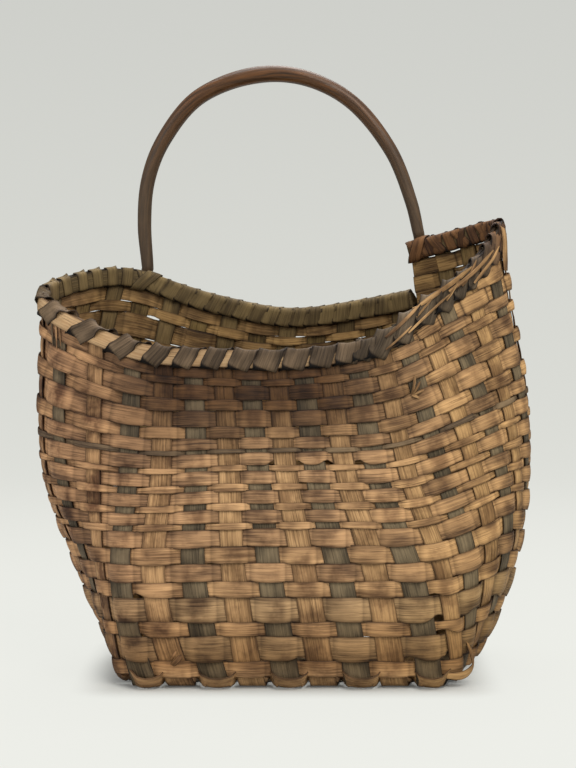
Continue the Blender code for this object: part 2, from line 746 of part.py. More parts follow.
def build():
    clear_scene()
    wall = Wall()
    for i in range(FRONT_STAKES):
        colour = DARK_STAKE if i % 2 == 0 else LIGHT_STAKE
        name = f"front_stake_{i + 1}"
        add_object(name, strip_mesh(name, front_stake(wall, i)), colour)
    for j in range(SIDE_STAKES):
        colour = LIGHT_STAKE if j % 2 == 0 else DARK_STAKE
        name = f"side_stake_{j + 1}"
        add_object(name, strip_mesh(name, side_stake(wall, j)), colour)
    for row in range(1, len(ROW_SHARES)):
        colour = WEAVER_TAN if row % 2 else WEAVER_MAUVE
        if row == DARK_ROW:
            colour = WEAVER_DARK
        name = f"weaver_{row:02d}"
        add_object(name, strip_mesh(name, ring_weaver(wall, row), closed=True), colour)
    for number in range(1, SHORT_ROWS + 1):
        name = f"short_weaver_{number}"
        add_object(name, strip_mesh(name, short_weaver(wall, number)), WEAVER_TAN)
    outer = rim_hoop(wall, OUTER_HOOP_FACE - OUTER_HOOP_THICKNESS, OUTER_HOOP_FACE)
    inner = rim_hoop(wall, -INNER_HOOP_FACE, INNER_HOOP_THICKNESS - INNER_HOOP_FACE)
    add_object("rim_hoop_outer", strip_mesh("rim_hoop_outer", outer), HOOP_PALE)
    add_object("rim_hoop_inner", strip_mesh("rim_hoop_inner", inner), HOOP_PALE)
    lashings = (
        ("rim_lashing_front", LEFT_ROOT_STAKE + 1 - STAKE_ENDS, min(RIM_RAMP_SHARES)),
        ("rim_lashing_right", min(RIM_RAMP_SHARES) + 1, RIGHT_ROOT_STAKE - 2),
        ("rim_lashing_back", RIGHT_ROOT_STAKE + 1, LEFT_ROOT_STAKE - 2),
    )
    for name, first, last in lashings:
        sections = rim_lashing(wall, first, last)
        add_object(name, strip_mesh(name, sections), LASHING_GREY)
        print(f"{name}: least gap to itself {own_gap(sections) / MILLIMETRE:.2f} mm")
    add_object("handle", strip_mesh("handle", handle(wall), smooth=True), HANDLE_BROWN, 0.45)
    for side, k in (("left", LEFT_ROOT_STAKE), ("right", RIGHT_ROOT_STAKE)):
        for layer, direction in ((0, 1), (1, -1)):
            name = f"handle_tie_{side}_{'under' if layer == 0 else 'over'}"
            sections = handle_tie(wall, k, direction, layer)
            add_object(name, strip_mesh(name, sections, closed=True), LASHING_BROWN)


build()
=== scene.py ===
# %% [markdown]
# # A plaited splint basket
# This lesson dresses a finished solid model of a hand-plaited basket. The solids give
# every splint its place. Here each one is made again as a thin, slightly crowned strip
# that bends over and under its neighbours, and gets a dry, fibrous wood finish.
#
# The first line loads the solids. Everything that follows uses their frame: metres, the
# front toward -Y and the floor at z = 0.

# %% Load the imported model
import math
import random

import bpy
import numpy as np
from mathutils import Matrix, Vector


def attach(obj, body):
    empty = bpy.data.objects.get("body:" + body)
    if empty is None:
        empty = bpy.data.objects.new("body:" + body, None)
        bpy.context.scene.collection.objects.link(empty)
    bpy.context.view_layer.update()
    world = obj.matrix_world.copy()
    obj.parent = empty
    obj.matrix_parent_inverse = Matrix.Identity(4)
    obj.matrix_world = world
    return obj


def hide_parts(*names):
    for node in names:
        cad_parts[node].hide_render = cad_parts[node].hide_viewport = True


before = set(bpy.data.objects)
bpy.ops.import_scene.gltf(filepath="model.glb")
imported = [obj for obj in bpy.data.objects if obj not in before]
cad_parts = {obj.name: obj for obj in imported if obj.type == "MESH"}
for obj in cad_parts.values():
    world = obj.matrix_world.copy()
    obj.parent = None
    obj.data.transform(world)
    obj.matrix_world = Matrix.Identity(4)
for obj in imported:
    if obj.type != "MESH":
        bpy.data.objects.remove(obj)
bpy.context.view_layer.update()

random.seed(7)

# %% [markdown]
# ## The wall as one smooth surface
# A basket has no skin, yet all its splints lie on one. Its shape is known along 36
# uprights, nine on each side. Four outlines (foot, belly, shoulder and rim) are joined by
# a smooth curve. A place on the surface is then two numbers: `u`, counted in uprights
# round the basket, and `share`, the part of the height that lies below it.

# %% Sizes of the basket
MM = 0.001
BASE_FRONT, BASE_BACK, BASE_DEPTH, BASE_SHIFT = 240 * MM, 280 * MM, 170 * MM, 15 * MM
FRONT_CORNER, SIDE_CORNER = 18 * MM, 13.5 * MM
HEIGHT = 230  # of the body, in mm
BODY = np.array((360 * MM / 2, 190 * MM / 2, HEIGHT * MM))
SPLINT, CLEARANCE = 0.8 * MM, 0.4 * MM
WEAVE_LIFT = SPLINT + 0.5 * MM
BASE_LEVEL, BASE_LIFT = 1.5 * SPLINT + CLEARANCE, SPLINT + CLEARANCE
HOOP_HEIGHT, HOOP_OUT, HOOP_IN = 12 * MM, 3.0 * MM, 2.5 * MM
HOOP_FACE = SPLINT / 2 + CLEARANCE  # from the middle of a stake to the nearest face of a hoop
RIM_GAP = 1.8 * MM
SHORT_ROW = 12 * MM
SIDE_COUNT = 9
ENDS = 4 * SIDE_COUNT
LEFT_ROOT, RIGHT_ROOT = 29, 19  # the uprights beside the handle
# The climb to the high right end, as a part of three short rows at each of seven uprights
RAMP_PLACES, RAMP = range(9, 16), (0.0, 0.13, 0.25, 0.31, 0.42, 0.68, 1.0)
# Shares of the height: the four outlines, then the edges of the 24 full rows
LEVELS = (0.0, 0.31, 0.66, 1.0)
ROWS = (
    0.030, 0.075, 0.148, 0.190, 0.265, 0.313, 0.371, 0.426, 0.484, 0.506, 0.548, 0.571, 0.613,
    0.635, 0.677, 0.694, 0.735, 0.748, 0.784, 0.819, 0.871, 0.906, 0.952, 0.974, 1.000,
)
# Across, deep and high at every third upright, as parts of BODY
BELLY = (
    (-0.66, -0.89, 0.335), (-0.21, -0.95, 0.340), (0.21, -0.95, 0.340), (0.62, -0.88, 0.345),
    (0.88, -0.53, 0.410), (0.95, 0.14, 0.375), (0.82, 0.88, 0.340), (0.33, 1.03, 0.320),
    (-0.14, 1.03, 0.320), (-0.58, 0.90, 0.320), (-0.86, 0.40, 0.320), (-0.84, -0.23, 0.325),
)
SHOULDER = (
    (-0.63, -0.84, 0.655), (-0.23, -0.90, 0.665), (0.11, -0.93, 0.670), (0.47, -0.84, 0.680),
    (0.82, -0.55, 0.770), (0.99, 0.02, 0.810), (0.79, 0.69, 0.790), (0.39, 0.95, 0.720),
    (-0.05, 0.98, 0.690), (-0.51, 0.905, 0.695), (-0.88, 0.53, 0.700), (-1.00, -0.19, 0.675),
)
RIM = (
    (-0.61, -0.65, 1.010), (-0.255, -0.78, 0.985), (0.06, -0.80, 0.985), (0.37, -0.72, 1.025),
    (0.65, -0.51, 1.125), (0.90, 0.00, 1.225), (0.69, 0.53, 1.190), (0.365, 0.72, 1.135),
    (0.00, 0.80, 1.100), (-0.37, 0.78, 1.155), (-0.73, 0.63, 1.235), (-1.00, -0.04, 1.155),
)


# %% Curves through the outlines
NEIGHBOURS = (-1, 0, 1, 2)


def smooth(a, b, c, d, t):
    """The part from b to c of a smooth curve through four points."""
    return 0.5 * (2 * b + (c - a) * t + (2 * a - 5 * b + 4 * c - d) * t**2
                  + (3 * b - a - 3 * c + d) * t**3)


def through(points, place):
    """A smooth closed curve through points, read at places counted in points."""
    points = np.asarray(points, float)
    k = np.floor(place).astype(int)
    near = (points[(k + step) % len(points)] for step in NEIGHBOURS)
    return smooth(*near, (place - k)[:, None])


def feet():
    """Where the 36 uprights leave the base."""
    front, back, side = BASE_FRONT / 2, BASE_BACK / 2, BASE_DEPTH / 2
    corners = [(-front, -side), (front, -side),
               (BASE_SHIFT + back, side), (BASE_SHIFT - back, side)]
    found = []
    for i, gap in enumerate((FRONT_CORNER, SIDE_CORNER, FRONT_CORNER, SIDE_CORNER)):
        start, end = np.array(corners[i]), np.array(corners[(i + 1) % 4])
        length = np.linalg.norm(end - start)
        for k in range(SIDE_COUNT):
            run = gap + (length - 2 * gap) * k / (SIDE_COUNT - 1)
            found.append((*(start + (end - start) * run / length), BASE_LEVEL))
    return np.array(found)


def rise(levels, share):
    """The curve of one upright through its four level points."""
    spans = np.diff(LEVELS)
    slopes = np.diff(levels, axis=0) / spans[:, None]
    blend = (spans[1:] / (spans[:-1] + spans[1:]))[:, None]
    inner = slopes[:-1] * blend + slopes[1:] * (1 - blend)
    tangents = (1.5 * slopes[0] - 0.5 * slopes[1], *inner, slopes[2])
    k = min(2, sum(share > level for level in LEVELS[1:3]))
    t = (share - LEVELS[k]) / spans[k]
    return ((2 * t**3 - 3 * t**2 + 1) * levels[k] + (t**3 - 2 * t**2 + t) * spans[k] * tangents[k]
            + (3 * t**2 - 2 * t**3) * levels[k + 1] + (t**3 - t**2) * spans[k] * tangents[k + 1])


STEPS, TOP_STEPS = 120, 7  # of each upright, and those that give its direction at the top
FEET = feet()
outlines = [FEET] + [through(np.array(outline) * BODY, np.arange(ENDS) / 3)
                     for outline in (BELLY, SHOULDER, RIM)]
TABLE = np.array([[rise([level[k] for level in outlines], i / STEPS) for i in range(STEPS + 1)]
                  for k in range(ENDS)])
UP = TABLE[:, -1] - TABLE[:, -1 - TOP_STEPS]
UP /= np.linalg.norm(UP, axis=1)[:, None]
print("uprights:", len(FEET), "highest rim point in mm:", round(TABLE[:, -1, 2].max() * 1000))


# %% Reading the surface
NEAR_U, NEAR_SHARE = 0.1, 0.04  # how far apart the places lie that give a direction
WAVES, WAVES_TOP = (1.0, 1.9, 3.3, 5.7), 1.6  # of a waver, and how high their sum gets


def unit(vectors):
    return vectors / np.maximum(np.linalg.norm(vectors, axis=-1, keepdims=True), 1e-12)


def matched(*values):
    """The values as rows of numbers, all of one length."""
    return np.broadcast_arrays(*(np.atleast_1d(np.asarray(v, float)) for v in values))


def wall_point(u, share, over=0.0):
    """Points of the surface; over is a height in metres above the last full row."""
    u, share, over = matched(u, share, over)
    column = np.clip(share, 0, 1) * STEPS
    j = np.minimum(column.astype(int), STEPS - 1)
    f = (column - j)[:, None]
    k = np.floor(u).astype(int)
    near = (TABLE[(k + step) % ENDS, j] * (1 - f) + TABLE[(k + step) % ENDS, j + 1] * f
            + UP[(k + step) % ENDS] * over[:, None] for step in NEIGHBOURS)
    return smooth(*near, (u - k)[:, None])


def wall_frame(u, share, over=0.0):
    """Point, direction along the rows, direction up the wall and outward direction."""
    u, share, over = matched(u, share, over)
    along = unit(wall_point(u + NEAR_U, share, over) - wall_point(u - NEAR_U, share, over))
    low = np.clip(share - NEAR_SHARE / 2, 0, 1 - NEAR_SHARE)
    up = unit(wall_point(u, low + NEAR_SHARE, over) - wall_point(u, low, over))
    outward = unit(np.cross(along, up))
    return wall_point(u, share, over), along, unit(np.cross(outward, along)), outward


def wall_out(u, share, over=0.0):
    """Point and outward direction."""
    return wall_frame(u, share, over)[::3]


def foot_rise(u):
    """How far the rim's foot stands above the last full row."""
    u = np.asarray(u, float) % ENDS
    ramp = 3 * SHORT_ROW * np.interp(u, RAMP_PLACES, RAMP)
    return np.where(u < RIGHT_ROOT + 0.5, ramp, 0.0)


def wobble(places, scale, reach, seed):
    """A smooth hand-made waver along a splint."""
    rng = np.random.default_rng(seed)
    total = sum(np.sin(places / scale * f + rng.uniform(0, 2 * math.pi)) / f for f in WAVES)
    return total * reach / WAVES_TOP


def ease(part):
    """0 up to 0, 1 from 1 on and smooth between."""
    part = np.clip(part, 0, 1)
    return part * part * (3 - 2 * part)


print("front rim at mm:", np.round(wall_point(4, 1.0)[0] * 1000).tolist())

# %% [markdown]
# ## One helper for every splint
# A splint is a long flat strip. It starts as a grid primitive whose vertices are laid
# along a path in code, because no single transform follows a weave. A Solidify modifier
# gives it thickness and a small Bevel takes the sharp edge off. The UV map is kept in
# metres, so wood fibres keep their real size. Two attributes tell the finish where a point
# lies between the two edges, -1 to 1, and how deep it dives under its neighbours.


# %% Splints from a grid
SOFT_EDGE, BEVEL_ANGLE, SMOOTH_ANGLE = 0.25 * MM, 0.9, 0.8  # a width, then two angles
GRAIN_ALONG, GRAIN_ACROSS = 40, 4  # metres of UV map over which the splints are spread


def deselect():
    for o in bpy.context.selected_objects:
        o.select_set(False)


def grid(name, points, arc, wide, edge, dive):
    """A grid primitive laid on points[i, j], with its UV map in metres."""
    n, m = points.shape[:2]
    deselect()
    bpy.ops.mesh.primitive_grid_add(x_subdivisions=n - 1, y_subdivisions=m - 1, size=2)
    piece = bpy.context.object
    piece.name = piece.data.name = name
    mesh = piece.data
    co = np.zeros(len(mesh.vertices) * 3)
    mesh.vertices.foreach_get("co", co)
    i, j = np.rint((co.reshape(-1, 3)[:, :2] + 1) / 2 * (n - 1, m - 1)).astype(int).T
    mesh.vertices.foreach_set("co", points[i, j].ravel())
    corner = np.zeros(len(mesh.loops), np.int32)
    mesh.loops.foreach_get("vertex_index", corner)
    uv = np.stack((arc[i], wide[i, j]), 1)[corner]
    mesh.uv_layers[0].data.foreach_set("uv", uv.ravel())
    for label, values in (("edge", edge[i, j]), ("dive", dive[i])):
        layer = mesh.attributes.new(label, "FLOAT", "POINT")
        layer.data.foreach_set("value", values.astype(np.float32))
    mesh.update()
    return piece


def arc_length(points):
    """Distance along a path, from its start to each of its points."""
    return np.concatenate(([0], np.cumsum(np.linalg.norm(np.diff(points, axis=0), axis=1))))


def square_to(vectors, axis):
    """What is left of vectors without their part along an axis."""
    return vectors - axis * np.sum(vectors * axis, 1)[:, None]


def splint(name, centre, side, outward, half, crown=0.0, thickness=SPLINT, dive=0.0,
           across=6, soft=SOFT_EDGE, seed=0, sag=None):
    """A strip along centre, half wide to each side, crowned outward and bent across by sag."""
    n = len(centre)
    tangent = unit(np.gradient(centre, axis=0))
    side = unit(square_to(side, tangent))
    outward = unit(square_to(square_to(outward, tangent), side))
    if np.ndim(half) < 2:
        half = np.broadcast_to(np.reshape(half, (-1, 1)), (n, 2))
    place = np.linspace(-1, 1, across + 1)
    reach = np.where(place < 0, half[:, :1], half[:, 1:]) * place
    lift = np.reshape(crown, (-1, 1)) * (1 - place**2)
    points = (centre[:, None] + side[:, None] * reach[..., None]
              + outward[:, None] * lift[..., None])
    if sag is not None:
        points = points + sag[:, None] * (reach**2)[..., None]
    rng = np.random.default_rng(seed + 100)
    arc = arc_length(centre) + rng.uniform(0, GRAIN_ALONG)
    piece = grid(name, points, arc, reach + rng.uniform(0, GRAIN_ACROSS),
                 np.broadcast_to(place, reach.shape), np.broadcast_to(dive, (n,)))
    for kind, settings in (
            ("SOLIDIFY", {"thickness": thickness, "offset": 0.0}),
            ("BEVEL", {"width": soft, "segments": 2, "limit_method": "ANGLE",
                       "angle_limit": BEVEL_ANGLE})):
        modifier = piece.modifiers.new(kind, kind)
        for key, value in settings.items():
            setattr(modifier, key, value)
        bpy.ops.object.modifier_apply(modifier=kind)
    bpy.ops.object.shade_smooth_by_angle(angle=SMOOTH_ANGLE)
    return piece


MADE = []


def keep(piece, node, finish):
    """Gives a piece its finish and hands it to the frame in place of its solid."""
    piece.data.materials.clear()
    piece.data.materials.append(finish)
    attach(piece, "root")
    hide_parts(node)
    MADE.append(piece)


# %% [markdown]
# ## Shader maths in plain Python
# Every finish is built from nodes. A tiny class wraps a socket, so that sums and products
# can be written as Python expressions: each step adds its own Math node.


# %% A socket that can be added and multiplied
def plug(tree, socket, value):
    """Links a node's socket to a value from another node, or sets a plain one."""
    if isinstance(value, Socket):
        tree.links.new(value.out, socket)
    else:
        socket.default_value = value


def operator(name):
    """A Python operator that adds a Math node."""
    return lambda self, other: self.math(name, other)


class Socket:
    def __init__(self, tree, out):
        self.tree = tree
        self.out = out

    def math(self, operation, *others):
        made = self.tree.nodes.new("ShaderNodeMath")
        made.operation = operation
        for socket, value in zip(made.inputs, (self, *others)):
            plug(self.tree, socket, value)
        return Socket(self.tree, made.outputs[0])

    __add__ = __radd__ = operator("ADD")
    __sub__ = operator("SUBTRACT")
    __mul__ = operator("MULTIPLY")
    __pow__ = operator("POWER")

    def __rsub__(self, other):
        return self.math("MULTIPLY_ADD", -1.0, other)

    def clamp(self):
        made = self + 0.0
        made.out.node.use_clamp = True
        return made

    def step(self, low, high):
        """0 below low, 1 above high and smooth between."""
        made = self.tree.nodes.new("ShaderNodeMapRange")
        made.interpolation_type = "SMOOTHSTEP"
        self.tree.links.new(self.out, made.inputs["Value"])
        made.inputs["From Min"].default_value = low
        made.inputs["From Max"].default_value = high
        return Socket(self.tree, made.outputs["Result"])


class Finish:
    """A material under construction."""

    def __init__(self, name, roughness, specular):
        self.material = bpy.data.materials.new(name)
        self.material.use_nodes = True
        self.tree = self.material.node_tree
        self.shader = self.tree.nodes["Principled BSDF"]
        self.shader.inputs["Roughness"].default_value = roughness
        self.shader.inputs["Specular IOR Level"].default_value = specular

    def node(self, kind, settings=None, output=0, **values):
        made = self.tree.nodes.new(kind)
        for key, value in (settings or {}).items():
            setattr(made, key, value)
        for key, value in values.items():
            plug(self.tree, made.inputs[key.replace("_", " ")], value)
        return Socket(self.tree, made.outputs[output])

    def noise(self, vector, scale=1.0, detail=2.0, roughness=0.5):
        return self.node("ShaderNodeTexNoise", Vector=vector, Scale=scale, Detail=detail,
                         Roughness=roughness)

    def grain(self, along, across, **settings):
        """Noise stretched along the splint: so many waves a metre along and across it."""
        uv = self.node("ShaderNodeUVMap", {"uv_map": "UVMap"})
        scaled = self.node("ShaderNodeMapping", Vector=uv, Scale=(along, across, 1.0))
        return self.noise(scaled, **settings)

    def place(self):
        """The object's own coordinates, as one socket and as its x, y and z."""
        whole = self.node("ShaderNodeTexCoord", output=3)
        parts = self.node("ShaderNodeSeparateXYZ", Vector=whole).out.node.outputs
        return whole, *(Socket(self.tree, parts[i]) for i in range(3))

    def mix(self, factor, a, b, blend="MIX"):
        mixed = self.node("ShaderNodeMix", {"data_type": "RGBA", "blend_type": blend}, output=2)
        for i, value in ((0, factor), (6, a), (7, b)):
            plug(self.tree, mixed.out.node.inputs[i], value)
        return mixed

    def to(self, **sockets):
        for key, value in sockets.items():
            plug(self.tree, self.shader.inputs[key.replace("_", " ")], value)


def tint(r, g, b):
    """A colour as a paint chart gives it, 0 to 255, made linear for the shader."""
    return tuple((v / 255 / 12.92) if v < 10.3 else ((v / 255 + 0.055) / 1.055) ** 2.4
                 for v in (r, g, b)) + (1.0,)


# %% [markdown]
# ## The look of split wood
# A splint is pulled off the log along its grain, so its face is all long fibres: pale
# and dark streaks a millimetre apart that run the length of the strip. Age adds broad
# patches and cracks, and the wall is darker low down, near the floor. Shade is painted
# too: dark lines along each strip's edges and where it dives under its neighbours. The
# streaks read the strip's own UV map, stretched a hundredfold along it. The broad changes
# (a mauve left end, a yellower right end, painted shade under the front rim) read the
# object's own coordinates, so they run on from splint to splint.


# %% Splint finish
X, Y = 0, 1
BEHIND = (Y, 0.0, 0.05)  # axis and limits in metres: the back half, whose inside shows


def split_wood(name, light, dark, streaks=0.5, patch=0.7, region=1.0, others=(), painted_holes=(),
               painted_slot_shade=0.0):
    """Split wood; each of others is (axis, from, to, light, dark), more pairs of colours."""
    f = Finish(name, roughness=0.72, specular=0.22)
    place, x, y, z = f.place()
    edge, dive = (f.node("ShaderNodeAttribute", {"attribute_name": label}, output=2)
                  for label in ("edge", "dive"))
    # Fibres, patches, cracks and stains
    fibre = f.grain(30, 800, detail=3.0, roughness=0.65).step(0.32, 0.68)
    fine = f.grain(150, 3800)
    broad = f.grain(24, 55).step(0.36, 0.64)
    crack = f.grain(20, 1300, detail=1.0).step(0.63, 0.70)
    stain = f.noise(place, scale=34.0, detail=4.0, roughness=0.65).step(0.44, 0.66)
    light, dark = tint(*light), tint(*dark)
    for axis, low, high, light_2, dark_2 in others:
        away = (x, y)[axis].step(low, high)
        light, dark = f.mix(away, light, tint(*light_2)), f.mix(away, dark, tint(*dark_2))
    tone = (fibre * streaks + broad * patch + fine * 0.4 - 0.30).clamp()
    colour = f.mix(tone, dark, light)
    # Parts of the basket, from their places in metres
    left = (1 - x.step(-0.165, -0.030)) * (1 - y.step(-0.01, 0.05))
    right = x.step(0.020, 0.150) * (1 - y.step(-0.01, 0.06))
    inside = y.step(*BEHIND[1:])
    foot = (1 - z.step(0.005, 0.085)) * (0.2 + z.step(0.008, 0.022) * 0.8) * (1 - inside)
    # Painted shade on the upper front wall, under the overhang of the rim
    painted_rim_shade = (z.step(0.150, 0.210) * (1 - x.step(0.020, 0.110)) * x.step(-0.165, -0.080)
            * (1 - y.step(-0.05, -0.01)))
    weather = (1 - dive.step(0.02, 0.40)) * (0.14 + stain * (0.60 + left * 0.40))
    # Painted shade: dark lines along each strip's edges and where it dives under its neighbours,
    # together with real cracks in the grain
    painted_edge_shade = (edge * edge) ** 3.5
    painted_shade_and_cracks = (painted_edge_shade * 0.85 + dive.step(0.50, 0.95) * 0.8 + crack * 0.4).clamp()
    for factor, shade in (
        (weather * region, (146, 134, 132)),
        (left * (0.50 * region), (252, 238, 238)),
        (right * (0.45 * region), (240, 238, 204)),
        (foot, (206, 194, 176)),
        # painted shade under the front rim
        (painted_rim_shade * (0.25 + 0.72 * region), (110, 95, 76)),
        (inside * (0.75 * region), (200, 202, 168)),
        # painted shade at the edges and dives, and cracks
        (painted_shade_and_cracks, (76, 58, 44)),
        # more painted shade deep in the dives
        (dive.step(0.70, 0.95) * 0.85, (60, 45, 35)),
    ):
        colour = f.mix(factor, colour, tint(*shade), "MULTIPLY")
    # Painted shade: the upper half of the front hoop's face is darkened nearly to black, as the
    # shade of a dark slot at the rim
    if painted_slot_shade:
        slot = edge.step(0.0, 0.35) * x.step(-0.035, -0.015) * (1 - y.step(-0.03, 0.0))
        colour = f.mix(slot * painted_slot_shade, colour, tint(30, 22, 16))
    # Painted shade: each dark spot stands for the shade inside a small hole
    for point, reach in painted_holes:
        away = f.node("ShaderNodeVectorMath", {"operation": "DISTANCE"}, output=1, Vector=place)
        away.out.node.inputs[1].default_value = point
        colour = f.mix(1 - away.step(reach * 0.7, reach), colour, tint(24, 17, 12))
    f.to(Base_Color=colour, Roughness=(0.60 + fine * 0.2 + stain * 0.1).clamp())
    height = fibre * 0.7 + fine * 0.5 - crack * 0.8
    f.to(Normal=f.node("ShaderNodeBump", Strength=0.7, Distance=0.4 * MM, Height=height))
    return f.material


def painted_hole_shade(u, share, reach):
    """A painted dark spot on the outer face of the wall, the shade inside a small hole: its
    middle and its reach in mm.
    """
    point, outward = wall_out(u, share)
    return tuple(point[0] + outward[0] * 2 * MM), reach * MM


# Dark spots painted as the shade inside three small holes
PAINTED_HOLES = (painted_hole_shade(-0.12, 0.880, 2.6), painted_hole_shade(2.20, 0.172, 2.6), painted_hole_shade(8.70, 0.092, 3.6))
OLIVE = ((124, 104, 68), (74, 60, 38))
LIGHT_STAKE = split_wood(
    "pale splint", (204, 163, 114), (128, 97, 63), streaks=0.7, patch=0.6,
    others=((*BEHIND, (158, 130, 88), (98, 78, 50)),))
DARK_STAKE = split_wood("dark splint", (130, 113, 86), (68, 59, 44), region=0.4,
                        others=((*BEHIND, (138, 114, 76), (84, 68, 44)),))
WEAVER_TAN = split_wood("tan splint", (206, 163, 115), (110, 81, 54), painted_holes=PAINTED_HOLES)
WEAVER_MAUVE = split_wood("brown splint", (195, 153, 109), (100, 74, 52), painted_holes=PAINTED_HOLES)
WEAVER_OLIVE = split_wood("olive splint", (186, 152, 110), (102, 79, 54), painted_holes=PAINTED_HOLES)
WEAVER_DARK = split_wood("thin dark splint", (134, 112, 84), (78, 62, 46), region=0.4)
HOOP_PALE = split_wood(
    "bare hoop wood", (218, 186, 142), (180, 144, 102), patch=0.3, region=0.2, painted_slot_shade=0.92,
    others=((X, 0.0, 0.06, (128, 102, 68), (88, 68, 44)), (Y, -0.02, 0.02, *OLIVE)))
LASHING_GREY = split_wood("grey lashing", (128, 107, 83), (66, 53, 38), region=0.2,
                          others=((Y, -0.03, 0.02, *OLIVE),))
LASHING_BROWN = split_wood("brown lashing", (110, 94, 74), (56, 46, 34), region=0.2,
                           others=((Y, -0.04, 0.0, (124, 86, 52), (60, 38, 24)),))
print("splint finishes: 9")

# %% [markdown]
# ## Stakes
# Nine stakes run down the front, flat across the base and up the back. Nine more run
# down the right end, in and out across the base and up the left end. Each is one long
# splint, so each is one strip here too: wall, fold, base, fold, wall. Where a row passes
# outside, the stake gives way inward a little, which sets the rows into the wall.


# %% Paths of the stakes
FRONT_FOOT, SIDE_FOOT, TIP = 19.5, 13.0, 13.5  # widths in mm
GIVE, STAKE_CROWN, FOLD_RUN = 0.35 * MM, 0.25 * MM, 6 * MM
# Points above the last full row, down the wall and round a fold
TIP_STEPS, WALL_STEPS, FOLD_STEPS = 7, 110, 7


def wall_run(k, seed):
    """Wall part of a stake from its tip down to its fold: points, sides, half widths."""
    top = float(foot_rise(k)) + RIM_GAP + HOOP_HEIGHT - 0.5 * MM
    share = np.concatenate((np.ones(TIP_STEPS), np.linspace(1.0, ROWS[0], WALL_STEPS)[1:]))
    over = np.concatenate((np.linspace(top, 0, TIP_STEPS), np.zeros(WALL_STEPS - 1)))
    middles = [(a + b) / 2 for a, b in zip(ROWS, ROWS[1:])]
    give = [-GIVE if (k + row) % 2 == 0 else GIVE for row in range(1, len(ROWS))]
    point, along, up, outward = wall_frame(k, share, over)
    push = np.where(over > 0, 0, np.interp(share, middles, give))
    sway = wobble(share * HEIGHT + k * 11, 34, 0.35 * MM, seed)
    point = point + outward * push[:, None] + along * sway[:, None]
    foot = FRONT_FOOT if k // SIDE_COUNT % 2 == 0 else SIDE_FOOT
    half = ((foot + (TIP - foot) * share) / 2 * MM
            * (1 + wobble(share * HEIGHT, 17, 0.035, seed + 1)))
    return point, along, half


def fold(point, foot, inner):
    """A small round bend from the wall's last point into the base."""
    end = foot + unit(inner - foot) * FOLD_RUN
    corner = foot + (point - foot) * 0.45
    t = np.linspace(0, 1, FOLD_STEPS + 2)[1:-1, None]
    return (1 - t)**2 * point + 2 * t * (1 - t) * corner + t**2 * end


def stake_strip(name, k_start, k_end, base, side, seed):
    """Joins the wall runs of two opposite stake ends through the points of the base."""
    p0, a0, h0 = wall_run(k_start, seed)
    p1, a1, h1 = wall_run(k_end, seed + 5)
    fold0 = fold(p0[-1], FEET[k_start], base[0])
    fold1 = fold(p1[-1], FEET[k_end], base[-1])[::-1]
    points = np.concatenate((p0, fold0, base, fold1, p1[::-1]))
    middle = len(fold0) + len(base) + len(fold1)
    side = np.broadcast_to(side, base.shape)
    soft = np.linspace(0, 1, FOLD_STEPS)[:, None]
    bend0 = unit(a0[-1] * (1 - soft) + side[0] * soft)
    bend1 = unit(side[-1] * (1 - soft) - a1[-1] * soft)
    sides = np.concatenate((a0, bend0, side, bend1, -a1[::-1]))
    wide = np.concatenate((h0, np.full(middle, h0[-1]), h1[::-1]))
    outward = np.cross(np.gradient(points, axis=0), sides)
    crown = np.repeat((STAKE_CROWN, 0, STAKE_CROWN), (len(p0), middle, len(p1)))
    return splint(name, points, sides, outward, wide, crown=crown, across=4, seed=seed)


def keep_stake(piece, node, dark):
    slot, finish = ("stake_dark", DARK_STAKE) if dark else ("stake_light", LIGHT_STAKE)
    keep(piece, node, finish)


def crossing(i, j):
    """Where front stake i and side stake j cross in the base."""
    a, b = FEET[i], FEET[3 * SIDE_COUNT - 1 - i]
    c, d = FEET[SIDE_COUNT + j], FEET[ENDS - 1 - j]
    part = np.linalg.solve(np.array(((b - a)[:2], -(d - c)[:2])).T, (c - a)[:2])[0]
    return a + (b - a) * part


# %% Front stakes
X_AXIS, Y_AXIS, Z_AXIS = np.eye(3)
for i in range(SIDE_COUNT):
    k_back = 3 * SIDE_COUNT - 1 - i
    length = np.linalg.norm(FEET[k_back] - FEET[i])
    run = unit(FEET[k_back] - FEET[i])
    base = FEET[i] + run * np.linspace(FOLD_RUN, length - FOLD_RUN, 40)[:, None]
    node = f"front_stake_{i + 1}"
    keep_stake(stake_strip(f"{node}_strip", i, k_back, base, X_AXIS, 10 * i), node, i % 2 == 0)
print("front stakes:", SIDE_COUNT)

